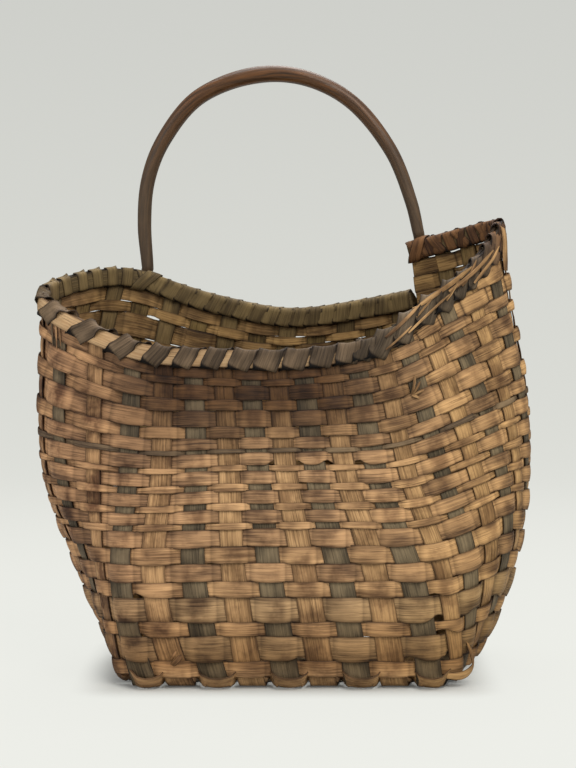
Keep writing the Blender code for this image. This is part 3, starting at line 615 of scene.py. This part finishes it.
# %% Side stakes
# The first one is loose: along the front of the base it hangs out in tilted loops
LOOP_TILT, LOOP_HALF, LOOP_OUT, LOOP_SWAG = math.radians(40), 6.5 * MM, 4.4 * MM, 4.5 * MM
for j in range(SIDE_COUNT):
    right, left = SIDE_COUNT + j, ENDS - 1 - j
    marks = [(FEET[right], 0.0)]
    marks += [(crossing(i, j), -BASE_LIFT if (i + j) % 2 == 0 else BASE_LIFT)
              for i in reversed(range(SIDE_COUNT))]
    marks.append((FEET[left], 0.0))
    last = len(marks) - 2
    u = np.concatenate((np.linspace(0.3, 1, 4)[:-1], np.linspace(1, last, 90),
                        np.linspace(last, last + 0.7, 4)[1:]))
    x = np.interp(u, np.arange(len(marks)), [mark[0][0] for mark in marks])
    near = np.floor(u).astype(int)
    lifts = np.array([mark[1] for mark in marks])
    part = ease((u - near - 0.32) / 0.36)
    lift = lifts[near] * (1 - part) + lifts[near + 1] * part
    base = np.stack((x, np.full_like(x, FEET[right][1]), BASE_LEVEL + lift), 1)
    side = Y_AXIS
    if j == 0:
        away = np.abs(u - 2 * np.floor(u / 2) - 1)
        loose = ease((0.66 - away) / 0.30)
        base[:, 1] -= (FEET[right][1] + BASE_DEPTH / 2 + LOOP_OUT) * loose
        base[:, 2] = (1.0 * MM + LOOP_HALF * math.sin(LOOP_TILT)
                      + LOOP_SWAG * np.clip(away / 0.6, 0, 1) ** 2)
        side = np.array((0.0, math.cos(LOOP_TILT), -math.sin(LOOP_TILT)))
    node = f"side_stake_{j + 1}"
    keep_stake(stake_strip(f"{node}_strip", right, left, base, side, 200 + 10 * j), node,
               j % 2 == 1)
print("side stakes:", SIDE_COUNT)

# %% [markdown]
# ## Rows
# A row goes over one stake and under the next, all the way round, and its ends lap. The
# next row goes the other way about. Where a splint passes outside a stake it puffs out
# and its corners round off as it dives behind the neighbours on each side, so the wall
# looks like pillows in brick bond.


# %% Path of a row
LAST_ROW, THIN_DARK_ROW, OLIVE_ROWS = len(ROWS) - 1, 17, (2, 4)


def weave(u, row):
    """1 where the row stands outside a stake, -1 where it is inside, quick between."""
    wave = np.cos(math.pi * (u + row))
    return np.sign(wave) * np.abs(wave) ** 0.62


# Where the low edge of a row has drawn back: row, upright, spread in uprights, reach in mm
DRAWN_LOW = (
    (16, 4.60, 0.20, 3.8), (16, 5.40, 0.20, 3.8), (16, 6.44, 0.20, 3.6), (16, 7.52, 0.20, 3.8),
    (3, 0.28, 0.22, 2.4), (5, -1.00, 0.20, 2.6), (5, 0.48, 0.20, 2.8), (5, 8.60, 0.22, 3.0),
    (4, 8.60, 0.30, 4.6), (3, 8.66, 0.30, 4.6), (2, 7.60, 0.28, 3.6), (2, 8.90, 0.32, 5.0),
    (4, 10.04, 0.28, 3.4), (4, 11.68, 0.30, 3.6), (2, 4.50, 0.24, 2.6), (22, 31.5, 0.3, 1.2),
    (23, 30.5, 0.3, 1.3), (24, 32.4, 0.3, 1.3), (23, 28.5, 0.2, 1.2), (21, 27.4, 0.25, 1.2),
)


def row_strip(name, u, low, high, row, above=False, lap=0.0, wave=None):
    """A row between two shares of the wall or, above it, two heights over the last full row."""
    def at(reader, height):
        return reader(u, 1.0, height) if above else reader(u, height)

    bottom, top = at(wall_point, low), at(wall_point, high)
    point, outward = at(wall_out, (low + high) / 2)
    tall = np.linalg.norm(top - bottom, axis=1)
    wave = weave(u, row) if wave is None else wave
    run = arc_length(point) / MM
    puff = np.clip(wave, 0, 1) ** 2 * np.clip(tall * 0.075, 0.4 * MM, 1.2 * MM)
    push = wave * WEAVE_LIFT + puff + wobble(run, 23, 0.12 * MM, row) - lap * 1.1 * SPLINT
    dipping = 1 - np.abs(wave)
    waver = np.stack([wobble(run, scale, 0.6 * MM, row * 7 + step)
                      for scale, step in ((19, 1), (21, 2))], 1)
    half = tall[:, None] / 2 + 0.22 * MM + waver - (dipping**1.5 * tall)[:, None] * 0.04
    for worn_row, place, spread, reach in DRAWN_LOW:
        if worn_row == row:
            away = (u - place + ENDS / 2) % ENDS - ENDS / 2
            half[:, 0] -= reach * MM * np.exp(-(away / spread) ** 2)
    if row == LAST_ROW:
        half[:, 1] += 1.0 * MM
    crown = (0.15 + 0.85 * np.clip(wave, 0, 1)) * tall * 0.065
    return splint(name, (bottom + top) / 2 + outward * push[:, None], unit(top - bottom), outward,
                  np.maximum(half, 0.9 * MM), crown=crown, dive=dipping, seed=300 + row)


# %% Full rows
PER_STAKE = 8
LAP_START, LAP_END = 0.42, 1.42  # uprights by which a row's ends run past its first stake
for row in range(1, LAST_ROW + 1):
    start = 21 + (row * 5) % 7
    start += (start + row) % 2
    length = ENDS + LAP_START + LAP_END
    u = start - LAP_START + np.arange(int(length * PER_STAKE) + 1) / PER_STAKE
    lap = np.clip((u - start - ENDS + 1.4) / 0.8, 0, 1)  # the end slides behind the start
    low, high = np.full_like(u, ROWS[row - 1]), np.full_like(u, ROWS[row])
    slot, finish = ("weaver_tan", WEAVER_TAN) if row % 2 else ("weaver_mauve", WEAVER_MAUVE)
    if row == THIN_DARK_ROW:
        slot, finish = "weaver_dark", WEAVER_DARK
    if row in OLIVE_ROWS:
        finish = WEAVER_OLIVE
    node = f"weaver_{row:02d}"
    keep(row_strip(f"{node}_strip", u, low, high, row, lap=lap), node, finish)
print("full rows:", LAST_ROW)

# %% Short rows
ROW_GAP = 0.3 * MM
for number in (1, 2, 3):
    first = np.interp((number - 0.7) / 3, RAMP, RAMP_PLACES)
    row = LAST_ROW + number
    u = np.arange(first * PER_STAKE, (RIGHT_ROOT + 0.36) * PER_STAKE) / PER_STAKE
    wave = weave(u, row)
    last = np.sign(weave(float(RIGHT_ROOT), row)) * 0.95
    wave[u > RIGHT_ROOT] = last
    half_turn = np.linspace(0, math.pi, 9)[1:]
    back_in = np.arange(RIGHT_ROOT + 0.30, RIGHT_ROOT - 0.75, -1 / PER_STAKE)
    u = np.concatenate((u, u[-1] + 0.07 * np.sin(half_turn), back_in))
    wave = np.concatenate((wave, last * np.cos(half_turn), np.full(len(back_in), -last)))
    low = np.full_like(u, SHORT_ROW * (number - 1) + ROW_GAP)
    high = np.minimum(SHORT_ROW * number, foot_rise(u)) - ROW_GAP
    node = f"short_weaver_{number}"
    keep(row_strip(f"{node}_strip", u, low, high, row, above=True, wave=wave), node,
         WEAVER_TAN)
print("short rows: 3")

# %% [markdown]
# ## Hoops
# The rim is two thin shaved laths that clamp the stake tips between them. They are bent
# cold, so they are stiff: the strip helper makes them too, thicker and with a bigger
# bevel. They stay open at the step beside the handle's right root.


# %% Rim hoops
def rim_frame(u):
    """Middle of the hoops' height between their inner faces, with its directions."""
    return wall_frame(u, 1.0, foot_rise(u) + RIM_GAP + HOOP_HEIGHT / 2)


hoop_u = np.linspace(RIGHT_ROOT + 0.45, RIGHT_ROOT + 0.55 - ENDS, 420)
for node, way, thick in (("rim_hoop_outer", 1, HOOP_OUT), ("rim_hoop_inner", -1, HOOP_IN)):
    point, along, up, outward = rim_frame(hoop_u)
    point = (point + outward * way * (HOOP_FACE + thick / 2)
             + up * wobble(hoop_u * 25, 60, 0.3 * MM, 4)[:, None])
    piece = splint(f"{node}_lath", point, up, outward * way, HOOP_HEIGHT / 2, crown=0.5 * MM,
                   thickness=thick, soft=0.8 * MM, seed=900 + way)
    keep(piece, node, HOOP_PALE)
print("hoops: 2")

# %% [markdown]
# ## Rim lashing
# A splint is wound over both hoops. It comes up through the gap between two stakes,
# slants over the outside, crosses the top and goes down inside to the next gap. It is
# bunched where it squeezes through the weave and spreads on the hoop. Most of the front
# has one wide turn for each stake, its left end and the back have two, and up to the
# high right end the turns grow from one to three narrow ones.


# %% Winding path
BOX_STEPS = 1600
PER_TURN = 36
SAG_LIMIT = 30.0  # the sharpest bend across a splint, half of one over its radius in metres


def round_box(count, turns, wide_out, wide_in, tall, squareness=0.36):
    """Even places round a box with round corners, their normals, and its top's place."""
    angle = np.linspace(-math.pi / 2, 1.5 * math.pi, BOX_STEPS + 1)
    c, s = np.cos(angle), np.sin(angle)
    x = np.sign(c) * np.abs(c) ** squareness * np.where(c > 0, wide_out, wide_in)
    y = np.sign(s) * np.abs(s) ** squareness * tall
    run = np.concatenate(([0], np.cumsum(np.hypot(np.diff(x), np.diff(y)))))
    top = run[BOX_STEPS // 2] / run[-1]
    even = np.arange(count) * run[-1] / count
    x, y = np.interp(even, run, x), np.interp(even, run, y)
    dx, dy = np.roll(x, -1) - np.roll(x, 1), np.roll(y, -1) - np.roll(y, 1)
    long = np.hypot(dx, dy)
    found = (np.append(np.tile(v, turns), v[0]) for v in (x, y, dy / long, -dx / long))
    return *found, top


def wound(name, bottoms, tops, widths, seed):
    """A splint wound round the hoops; bottoms and tops are its places below and above."""
    count = len(tops)
    spare = 0.5 * MM
    tall = HOOP_HEIGHT / 2 + spare
    x, y, nx, ny, top = round_box(PER_TURN, count, HOOP_FACE + HOOP_OUT + spare,
                                  HOOP_FACE + HOOP_IN + spare, tall)
    t = np.arange(count * PER_TURN + 1) / PER_TURN
    knots = np.stack((np.arange(count), np.arange(count) + top), 1).ravel()
    places = np.stack((bottoms[:-1], tops), 1).ravel()
    u = np.interp(t, np.append(knots, count), np.append(places, bottoms[-1]))
    push = x + wobble(t * 24, 17, 0.12 * MM, seed)

    def beside(step):
        point, along, up, outward = rim_frame(u + step)
        return point + outward * push[:, None] + up * y[:, None]

    along, up, outward = rim_frame(u)[1:]
    centre, ahead, behind = beside(0), beside(0.25), beside(-0.25)
    step = np.linalg.norm(ahead - behind, axis=1) / 2
    sag = (ahead + behind - 2 * centre) / (2 * step**2)[:, None]
    sag *= np.minimum(1, SAG_LIMIT / np.maximum(np.linalg.norm(sag, axis=1), 1e-9))[:, None]
    height = (y / tall + 1) / 2
    wide = np.interp(t, np.arange(len(widths)), widths) * np.clip(0.88 + height * 3.5, 0, 1)
    wide = wide * (1 + wobble(t * 28, 19, 0.035, seed + 3))
    return splint(name, centre, -along, outward * nx[:, None] + up * ny[:, None], wide / 2,
                  crown=0.3 * MM, dive=1 - np.clip(height * 6, 0, 1), seed=seed, sag=sag)


# %% Turns round the rim
def turns(first, last, count, slant, width, cross=0.14, loose=0.05):
    """Places below and above and widths of the turns in the gaps from first to last."""
    rows = []
    for k in range(first, last):
        for turn in range(count):
            low = k + 0.5 + (turn - (count - 1) / 2) * cross
            high = low + slant if slant else k + 0.5 + (turn + 0.5) / count
            jitter = random.uniform(-loose, loose)
            rows.append((low + jitter / 2, high + jitter,
                         width * random.uniform(1 - 1.4 * loose, 1 + 1.4 * loose) * MM))
    return rows


for side, slot, finish, seed, rows in (
    ("front", "lashing_grey", LASHING_GREY, 1001,
     turns(LEFT_ROOT - ENDS, -4, 2, 0, 9.5, 0.5) + turns(-4, 1, 1, 0.56, 14.5)
     + turns(1, 4, 1, 0.50, 14.0) + turns(4, 9, 1, 0.46, 17.0)),
    ("right", "lashing_brown", LASHING_BROWN, 1002,
     [(8.0, 8.60, 13 * MM)] + turns(8, 12, 1, 1.15, 14.5, loose=0.14)
     + turns(12, 15, 2, 0.75, 9.6, 0.5, loose=0.10) + turns(15, RIGHT_ROOT, 3, 0, 7.8, 0.66)),
    ("back", "lashing_grey", LASHING_GREY, 1003,
     [(19.62, 19.84, 12 * MM), (19.96, 20.2, 12 * MM)]
     + turns(20, LEFT_ROOT, 2, 0.28, 13.4, 0.5, loose=0.03)),
):
    node = f"rim_lashing_{side}"
    low, high, wide = zip(*rows)
    keep(wound(f"{node}_wound", low, high[:-1], wide, seed), node, finish)
    print("turns of lashing,", side, len(rows) - 1)

# %% [markdown]
# ## Handle
# The handle is one bent stick: a round bow that stands on the back wall. Below the rim
# each end is shaved flat and lies outside the wall. Two bands cross over each root.


# %% Bent stick
TAIL = 3.0 * MM
ROOT_PUSH = HOOP_FACE + HOOP_OUT + CLEARANCE + TAIL / 2


def tail_point(k, share, over=0.0):
    """The middle of a tail, outside upright k."""
    point, outward = wall_out(k, share, over)
    return point + outward * ROOT_PUSH


def tail_run(k):
    """The flat tail at one end, from row 22 up to the top of the hoops, and the bow's foot."""
    foot = float(foot_rise(k))
    top = foot + RIM_GAP + HOOP_HEIGHT
    over = np.linspace(0, 1, 6)[1:] * (RIM_GAP + HOOP_HEIGHT) + foot
    if foot > 0:
        over = np.concatenate((np.linspace(0, foot, 8)[1:], over))
    low = tail_point(k, np.linspace(ROWS[21], 1.0, 8))
    return np.concatenate((low, tail_point(k, 1.0, over))), tail_point(k, 1.0, top + 4 * MM)[0]


# Run along the chord between the roots and rise over it, as parts of the chord and BOW_RISE
BOW = (
    (0.000, 0.000), (0.009, 0.260), (0.045, 0.510), (0.125, 0.725), (0.260, 0.918),
    (0.450, 1.000), (0.640, 0.960), (0.810, 0.785), (0.930, 0.490), (0.983, 0.200),
    (1.000, 0.000),
)
BOW_RISE = 131 * MM
(left_tail, left), (right_tail, right) = tail_run(LEFT_ROOT), tail_run(RIGHT_ROOT)
chord = right - left
span = np.linalg.norm(chord)
face = unit(np.cross(Z_AXIS, chord))
upright = np.cross(chord / span, face)
marks = [left + chord * run + upright * BOW_RISE * high for run, high in BOW]
marks = np.array([2 * marks[0] - marks[1], *marks, 2 * marks[-1] - marks[-2]])
arch = through(marks, np.linspace(1, len(BOW) - 1e-6, 150))
path = np.concatenate((left_tail, arch, right_tail[::-1]))
part = np.clip((np.arange(len(path)) - len(left_tail)) / len(arch), 0, 1)
thick = np.interp(part, (0, 0.08, 0.5, 0.9, 1), (4.6, 5.2, 6.2, 4.7, 4.3)) * MM
flat = np.ones(len(path))
flat[:len(left_tail)] = np.linspace(0.30, 0.62, len(left_tail))
flat[-len(right_tail):] = np.linspace(0.62, 0.30, len(right_tail))


def rod(name, path, facing, thick, flat, seed, sides=20):
    """A stick: a grid rolled round a path, closed along its seam and at its ends."""
    tangent = unit(np.gradient(path, axis=0))
    face = unit(square_to(facing, tangent))
    side = np.cross(tangent, face)
    turn = np.linspace(0, 2 * math.pi, sides + 1)
    run = arc_length(path)
    lump = np.stack([wobble(run / MM + 40 * math.cos(a), 26, 0.16 * MM, seed) for a in turn], 1)
    lump[:, -1] = lump[:, 0]
    radius = thick[:, None] + lump
    points = (path[:, None] + side[:, None] * (radius * np.cos(turn))[..., None]
              + face[:, None] * (radius * np.sin(turn) * flat[:, None])[..., None])
    piece = grid(name, points, run, radius * turn, np.zeros_like(radius), np.zeros(len(path)))
    bpy.ops.object.mode_set(mode="EDIT")
    bpy.ops.mesh.select_all(action="SELECT")
    bpy.ops.mesh.remove_doubles(threshold=1e-6)
    bpy.ops.mesh.select_all(action="DESELECT")
    bpy.ops.mesh.select_non_manifold()
    bpy.ops.mesh.fill_holes(sides=0)
    bpy.ops.mesh.select_all(action="SELECT")
    bpy.ops.mesh.normals_make_consistent(inside=False)
    bpy.ops.object.mode_set(mode="OBJECT")
    bpy.ops.object.shade_smooth_by_angle(angle=0.9)
    return piece


facing = np.repeat(face[None], len(path), 0)
facing[:len(left_tail)] = wall_out(LEFT_ROOT, 1.0)[1]
facing[-len(right_tail):] = wall_out(RIGHT_ROOT, 1.0)[1]
stick = rod("handle_stick", path, facing, thick, flat, seed=5)
print("handle span in mm:", round(span * 1000))


# %% Stick finish
def stick_finish():
    """Smooth barked wood, polished by hands at the top of the bow and dull at its legs."""
    f = Finish("hand-worn stick", roughness=0.42, specular=0.3)
    place, *_, z = f.place()
    fibre = f.grain(28, 420, detail=4.0, roughness=0.6).step(0.2, 0.8)
    fine = f.grain(260, 1500, detail=3.0)
    patch = f.noise(place, scale=38.0, detail=3.0).step(0.35, 0.7)
    worn = z.step(0.34, 0.44)
    colour = f.mix((fibre * 0.6 + fine * 0.3).clamp(), tint(36, 28, 18), tint(98, 76, 52))
    colour = f.mix(patch * 0.45, colour, tint(60, 45, 30))
    colour = f.mix(worn * 0.8, colour, f.mix(fibre, tint(24, 14, 5), tint(100, 60, 22)))
    f.to(Base_Color=colour, Roughness=(0.50 - worn * 0.17 + fine * 0.1).clamp())
    height = fibre * 0.7 + fine * 0.4
    f.to(Normal=f.node("ShaderNodeBump", Strength=0.5, Distance=0.4 * MM, Height=height))
    return f.material


keep(stick, "handle", stick_finish())


# %% Bands over the handle's roots
BAND_STEPS, BAND_HALF, BAND_SPARE = 48, 3.3 * MM, 0.6 * MM


def band(name, k, way, lift, seed):
    """A band that slants round the hoops and the handle's tail, two turns side by side."""
    x, y, nx, ny, top = round_box(BAND_STEPS, 2, ROOT_PUSH + 2.0 * MM + lift,
                                  HOOP_FACE + HOOP_IN + BAND_SPARE + lift,
                                  HOOP_HEIGHT / 2 + BAND_SPARE + lift, 0.6)
    t = np.arange(2 * BAND_STEPS + 1) / BAND_STEPS
    u = k - way * 0.26 * np.cos(2 * math.pi * t) + (t - 1) * 0.16
    point, along, up, outward = wall_frame(u, 1.0, foot_rise(k) + RIM_GAP + HOOP_HEIGHT / 2)
    near = 1 - np.clip(np.abs(u - k) / 0.45, 0, 1)
    push = np.where(x > 0, x * (0.62 + 0.38 * near), x)
    centre = point + outward * push[:, None] + up * y[:, None]
    facing = outward * nx[:, None] + up * ny[:, None]
    return splint(name, centre, -along, facing, BAND_HALF, crown=0.4 * MM, seed=seed)


for label, k in (("left", LEFT_ROOT), ("right", RIGHT_ROOT)):
    for layer, way, lift in (("under", 1, 0), ("over", -1, 1)):
        node = f"handle_tie_{label}_{layer}"
        piece = band(f"{node}_band", k, way, lift * 1.3 * MM, 1100 + k + lift)
        keep(piece, node, LASHING_BROWN if k == RIGHT_ROOT else LASHING_GREY)
print("bands: 4")

# %% [markdown]
# ## Wear
# Old splint is brittle. Where hands lift the basket its edges split into slivers, ends
# slip out of the weave and a strip springs free of the rim. Each sliver is a narrow strip
# laid on a few points read from the wall, in the finish of the splints beside it.


# %% Slivers
def sliver(name, marks, half, node, finish, seed):
    """A loose strip through marks: upright, share, height over the last row, push in mm."""
    points, outward = [], []
    for u, share, over, push in marks:
        point, out = wall_out(u, share, over * MM)
        points.append(point[0] + out[0] * push * MM)
        outward.append(out[0])
    points = [2 * points[0] - points[1], *points, 2 * points[-1] - points[-2]]
    outward = [outward[0], *outward, outward[-1]]
    places = np.linspace(1, len(marks) - 1e-6, 10 * len(marks))
    path, facing = through(points, places), unit(through(outward, places))
    side = np.cross(facing, np.gradient(path, axis=0))
    taper = np.interp(np.linspace(0, 1, len(path)), (0, 0.2, 0.8, 1), (0.7, 1, 1, 0.25))
    piece = splint(name, path, side, facing, half * MM * taper, crown=0.1 * MM,
                   thickness=0.5 * MM, across=2, soft=0.1 * MM, seed=seed)
    keep(piece, node, finish)


def rim_height(u, part):
    """Height in mm over the last full row at a part of the hoops' height."""
    return float(foot_rise(u) + RIM_GAP + HOOP_HEIGHT * part) / MM


def torn(start, end, push, drop):
    """Marks of a torn end that stands off the wall from start to end."""
    middle = ((start[0] + end[0]) / 2, (start[1] + end[1]) / 2, 0, push)
    return [(*start, 0, 2.6), middle, (*end, 0, push - drop)]


# %% Slivers at the right rim
# Start and end in uprights, low and high end in parts of the hoops' height, half width in mm
SPLINTERS = (
    (10.9, 13.2, 1.00, 0.95, 1.7), (12.6, 13.3, 0.45, 1.10, 1.2), (11.9, 12.6, 0.30, 0.90, 0.8),
    (9.2, 10.9, 0.75, 1.04, 1.2), (10.1, 12.1, 0.12, 0.50, 0.9), (12.1, 13.9, 0.66, 0.74, 1.5),
    (9.1, 10.3, 0.10, 0.34, 0.8), (13.0, 14.2, 0.16, 0.55, 1.2), (10.6, 11.5, 0.55, 0.95, 0.7),
)
for number, (start, end, low, high, half) in enumerate(SPLINTERS):
    marks = []
    for t in (0, 0.3, 0.65, 1):
        u = start + (end - start) * t
        push = 5.6 + 1.6 * math.sin(math.pi * t) + 0.5 * number % 1.3
        marks.append((u, 1.0, rim_height(u, low + (high - low) * t), push))
    sliver(f"rim_splinter_{number + 1}", marks, half, "rim_lashing_right",
           LIGHT_STAKE if number % 2 == 0 else WEAVER_TAN, 1300 + number)
marks = [(14.45, 1.0, 16, 3.8), (14.52, 1.0, 26, 4.6)]
marks += [(u, 1.0, rim_height(u, part), push)
          for u, part, push in ((14.62, 0.4, 5.6), (14.7, 0.95, 4.6), (14.75, 1.25, 1.0))]
sliver("peak_strip", marks, 3.6, "side_stake_7", WEAVER_TAN, 1320)
print("slivers at the rim:", len(SPLINTERS) + 1)

# %% Loose and torn ends
STRANDS = ((-2.18, 0.953), (-2.02, 0.945), (-1.90, 0.962))
TORN = (((0.98, 0.066), (1.34, 0.098), 6.5), ((1.02, 0.084), (1.22, 0.108), 5.0))
FRAYED = (((9.96, 0.916), 4.6), ((10.06, 0.894), 5.4), ((10.12, 0.868), 4.8),
          ((9.92, 0.850), 4.0))
CORNER = [(8.50, 0.030, 0, 2.4), (8.95, 0.030, 0, 6.5), (9.40, 0.048, 0, 8.5),
          (9.62, 0.080, 0, 6.5), (9.66, 0.115, 0, 1.6)]
for number, (u, end) in enumerate(STRANDS):
    marks = [(u, 1.0, 5, 3.6), (u, 1.0, 0.5, 3.4), (u + 0.03, end, 0, 3.0)]
    sliver(f"loose_strand_{number + 1}", marks, 0.8, "side_stake_2",
           LIGHT_STAKE if number else WEAVER_DARK, 1330 + number)
for number, (start, end, push) in enumerate(TORN):
    sliver(f"torn_end_{number + 1}", torn(start, end, push, 2), 2.0 - number,
           "weaver_02", WEAVER_TAN, 1340 + number)
for number, (end, push) in enumerate(FRAYED):
    sliver(f"frayed_bit_{number + 1}", torn((9.68, 0.866), end, push, 1.4), 1.0,
           "weaver_21", LIGHT_STAKE, 1350 + number)
sliver("corner_loop", CORNER, 3.1, "side_stake_1", LIGHT_STAKE, 1360)
print("loose and torn ends:", len(STRANDS) + len(TORN) + len(FRAYED) + 1)

# %% [markdown]
# ## Floor, light and camera
# The basket stands on a pale sweep that curves up into a backdrop. One large soft light
# shines from the upper right, a second from above, a weak one from the left and one from
# behind. To the camera the paper glows in painted shades, paler at the front and darker
# further back and higher up, and it lights the basket less than it seems to; close to the
# base the floor keeps its real shading, and with it the shadow.
# The camera is low, eleven degrees above the floor, and its shift stands in for the
# rising front of a view camera.


# %% Sweep
NEAR_END, SWEEP_RUN, SWEEP_HALF = -2.6, 7.0, 4.0
BEND_AT, BEND_RADIUS = 1.4, 1.2
QUARTER = BEND_RADIUS * math.pi / 2
deselect()
bpy.ops.mesh.primitive_grid_add(x_subdivisions=2, y_subdivisions=60, size=2)
sweep = bpy.context.object
sweep.name = sweep.data.name = "sweep"
for v in sweep.data.vertices:
    past = NEAR_END + (v.co.y + 1) / 2 * SWEEP_RUN - BEND_AT
    turn = min(max(past, 0), QUARTER) / BEND_RADIUS
    v.co = (v.co.x * SWEEP_HALF, BEND_AT + min(past, 0) + BEND_RADIUS * math.sin(turn),
            BEND_RADIUS * (1 - math.cos(turn)) + max(past - QUARTER, 0))
bpy.ops.object.shade_smooth()
print("sweep height in m:", round(max(v.co.z for v in sweep.data.vertices), 2))

# %% Paper
BOUNCE = 0.62  # how much of its own shade the paper throws back on the basket
SHOWN, CONTACT = 0.92, 0.84  # how much of it the camera sees, and loses beside the base
paper = Finish("pale paper", roughness=0.9, specular=0.1)
place, x, y, z = paper.place()
# Painted shade: the paper's colour darkens further back and higher up, and the camera sees it as
# a glow
shade = paper.mix(y.step(-0.1, 2.4), tint(237, 238, 232), tint(219, 220, 214))
shade = paper.mix(z.step(0.0, 1.1), shade, tint(209, 210, 205))
paper.to(Base_Color=paper.mix(1.0, shade, (BOUNCE, BOUNCE, BOUNCE, 1.0), "MULTIPLY"))
glow = paper.node("ShaderNodeEmission", Color=shade, Strength=1.0)
seen = paper.node("ShaderNodeLightPath")
beside = (x.math("ABSOLUTE") - BASE_FRONT / 2).math("MAXIMUM", 0.0)
before = (y.math("ABSOLUTE") - BASE_DEPTH / 2).math("MAXIMUM", 0.0)
near = 1 - ((beside * beside + before * before) ** 0.5).step(0.0, 0.04)
blend = paper.node("ShaderNodeMixShader").out.node
plug(paper.tree, blend.inputs[0], seen * (SHOWN - near * CONTACT))
paper.tree.links.new(paper.shader.outputs[0], blend.inputs[1])
paper.tree.links.new(glow.out, blend.inputs[2])
paper.tree.links.new(blend.outputs[0], paper.tree.nodes["Material Output"].inputs[0])
sweep.data.materials.append(paper.material)

# %% Lamps
world = bpy.data.worlds.new("studio")
bpy.context.scene.world = world
world.use_nodes = True
background = world.node_tree.nodes["Background"].inputs
background["Color"].default_value = (0.93, 0.95, 1.0, 1.0)
background["Strength"].default_value = 0.55


def softbox(name, place, height, size, power, colour):
    """A square lamp that looks at a height over the middle of the floor."""
    deselect()
    bpy.ops.object.light_add(type="AREA", location=place)
    lamp = bpy.context.object
    lamp.name = name
    lamp.data.shape = "SQUARE"
    lamp.data.size = size
    lamp.data.energy = power
    lamp.data.color = colour
    aim = Vector((0, 0, height)) - Vector(place)
    lamp.rotation_euler = aim.to_track_quat("-Z", "Y").to_euler()


softbox("key", (0.75, -1.4, 1.7), 0.18, 1.3, 38.0, (1.0, 0.97, 0.92))
softbox("fill", (-1.5, -1.3, 0.9), 0.2, 1.2, 10.0, (0.95, 0.97, 1.0))
softbox("top", (-0.1, 0.25, 1.8), 0.2, 1.2, 17.0, (1.0, 1.0, 1.0))
softbox("back", (0.2, 1.2, 1.7), 0.2, 1.0, 14.0, (1.0, 0.99, 0.97))
print("lamps: 4")

# %% Camera
ELEVATION, DISTANCE, FOCAL_PX, AXIS_PX = math.radians(11), 1.5, 1969, 666.5
WIDE, TALL, SENSOR = 576, 768, 36.0
camera_data = bpy.data.cameras.new("camera")
camera = bpy.data.objects.new("camera", camera_data)
bpy.context.scene.collection.objects.link(camera)
camera.location = (0, -DISTANCE * math.cos(ELEVATION), DISTANCE * math.sin(ELEVATION))
camera.rotation_euler = (math.pi / 2 - ELEVATION, 0, 0)
camera_data.sensor_width = SENSOR
camera_data.lens = SENSOR * FOCAL_PX / max(WIDE, TALL)
camera_data.shift_y = (AXIS_PX - TALL / 2) / max(WIDE, TALL)
bpy.context.scene.camera = camera
bpy.context.scene.view_settings.view_transform = "Standard"
print("lens in mm:", round(camera_data.lens, 1))

# %% Sizes of the made pieces
faces = sum(len(p.data.polygons) for p in MADE)
print("pieces:", len(MADE), "faces:", faces)
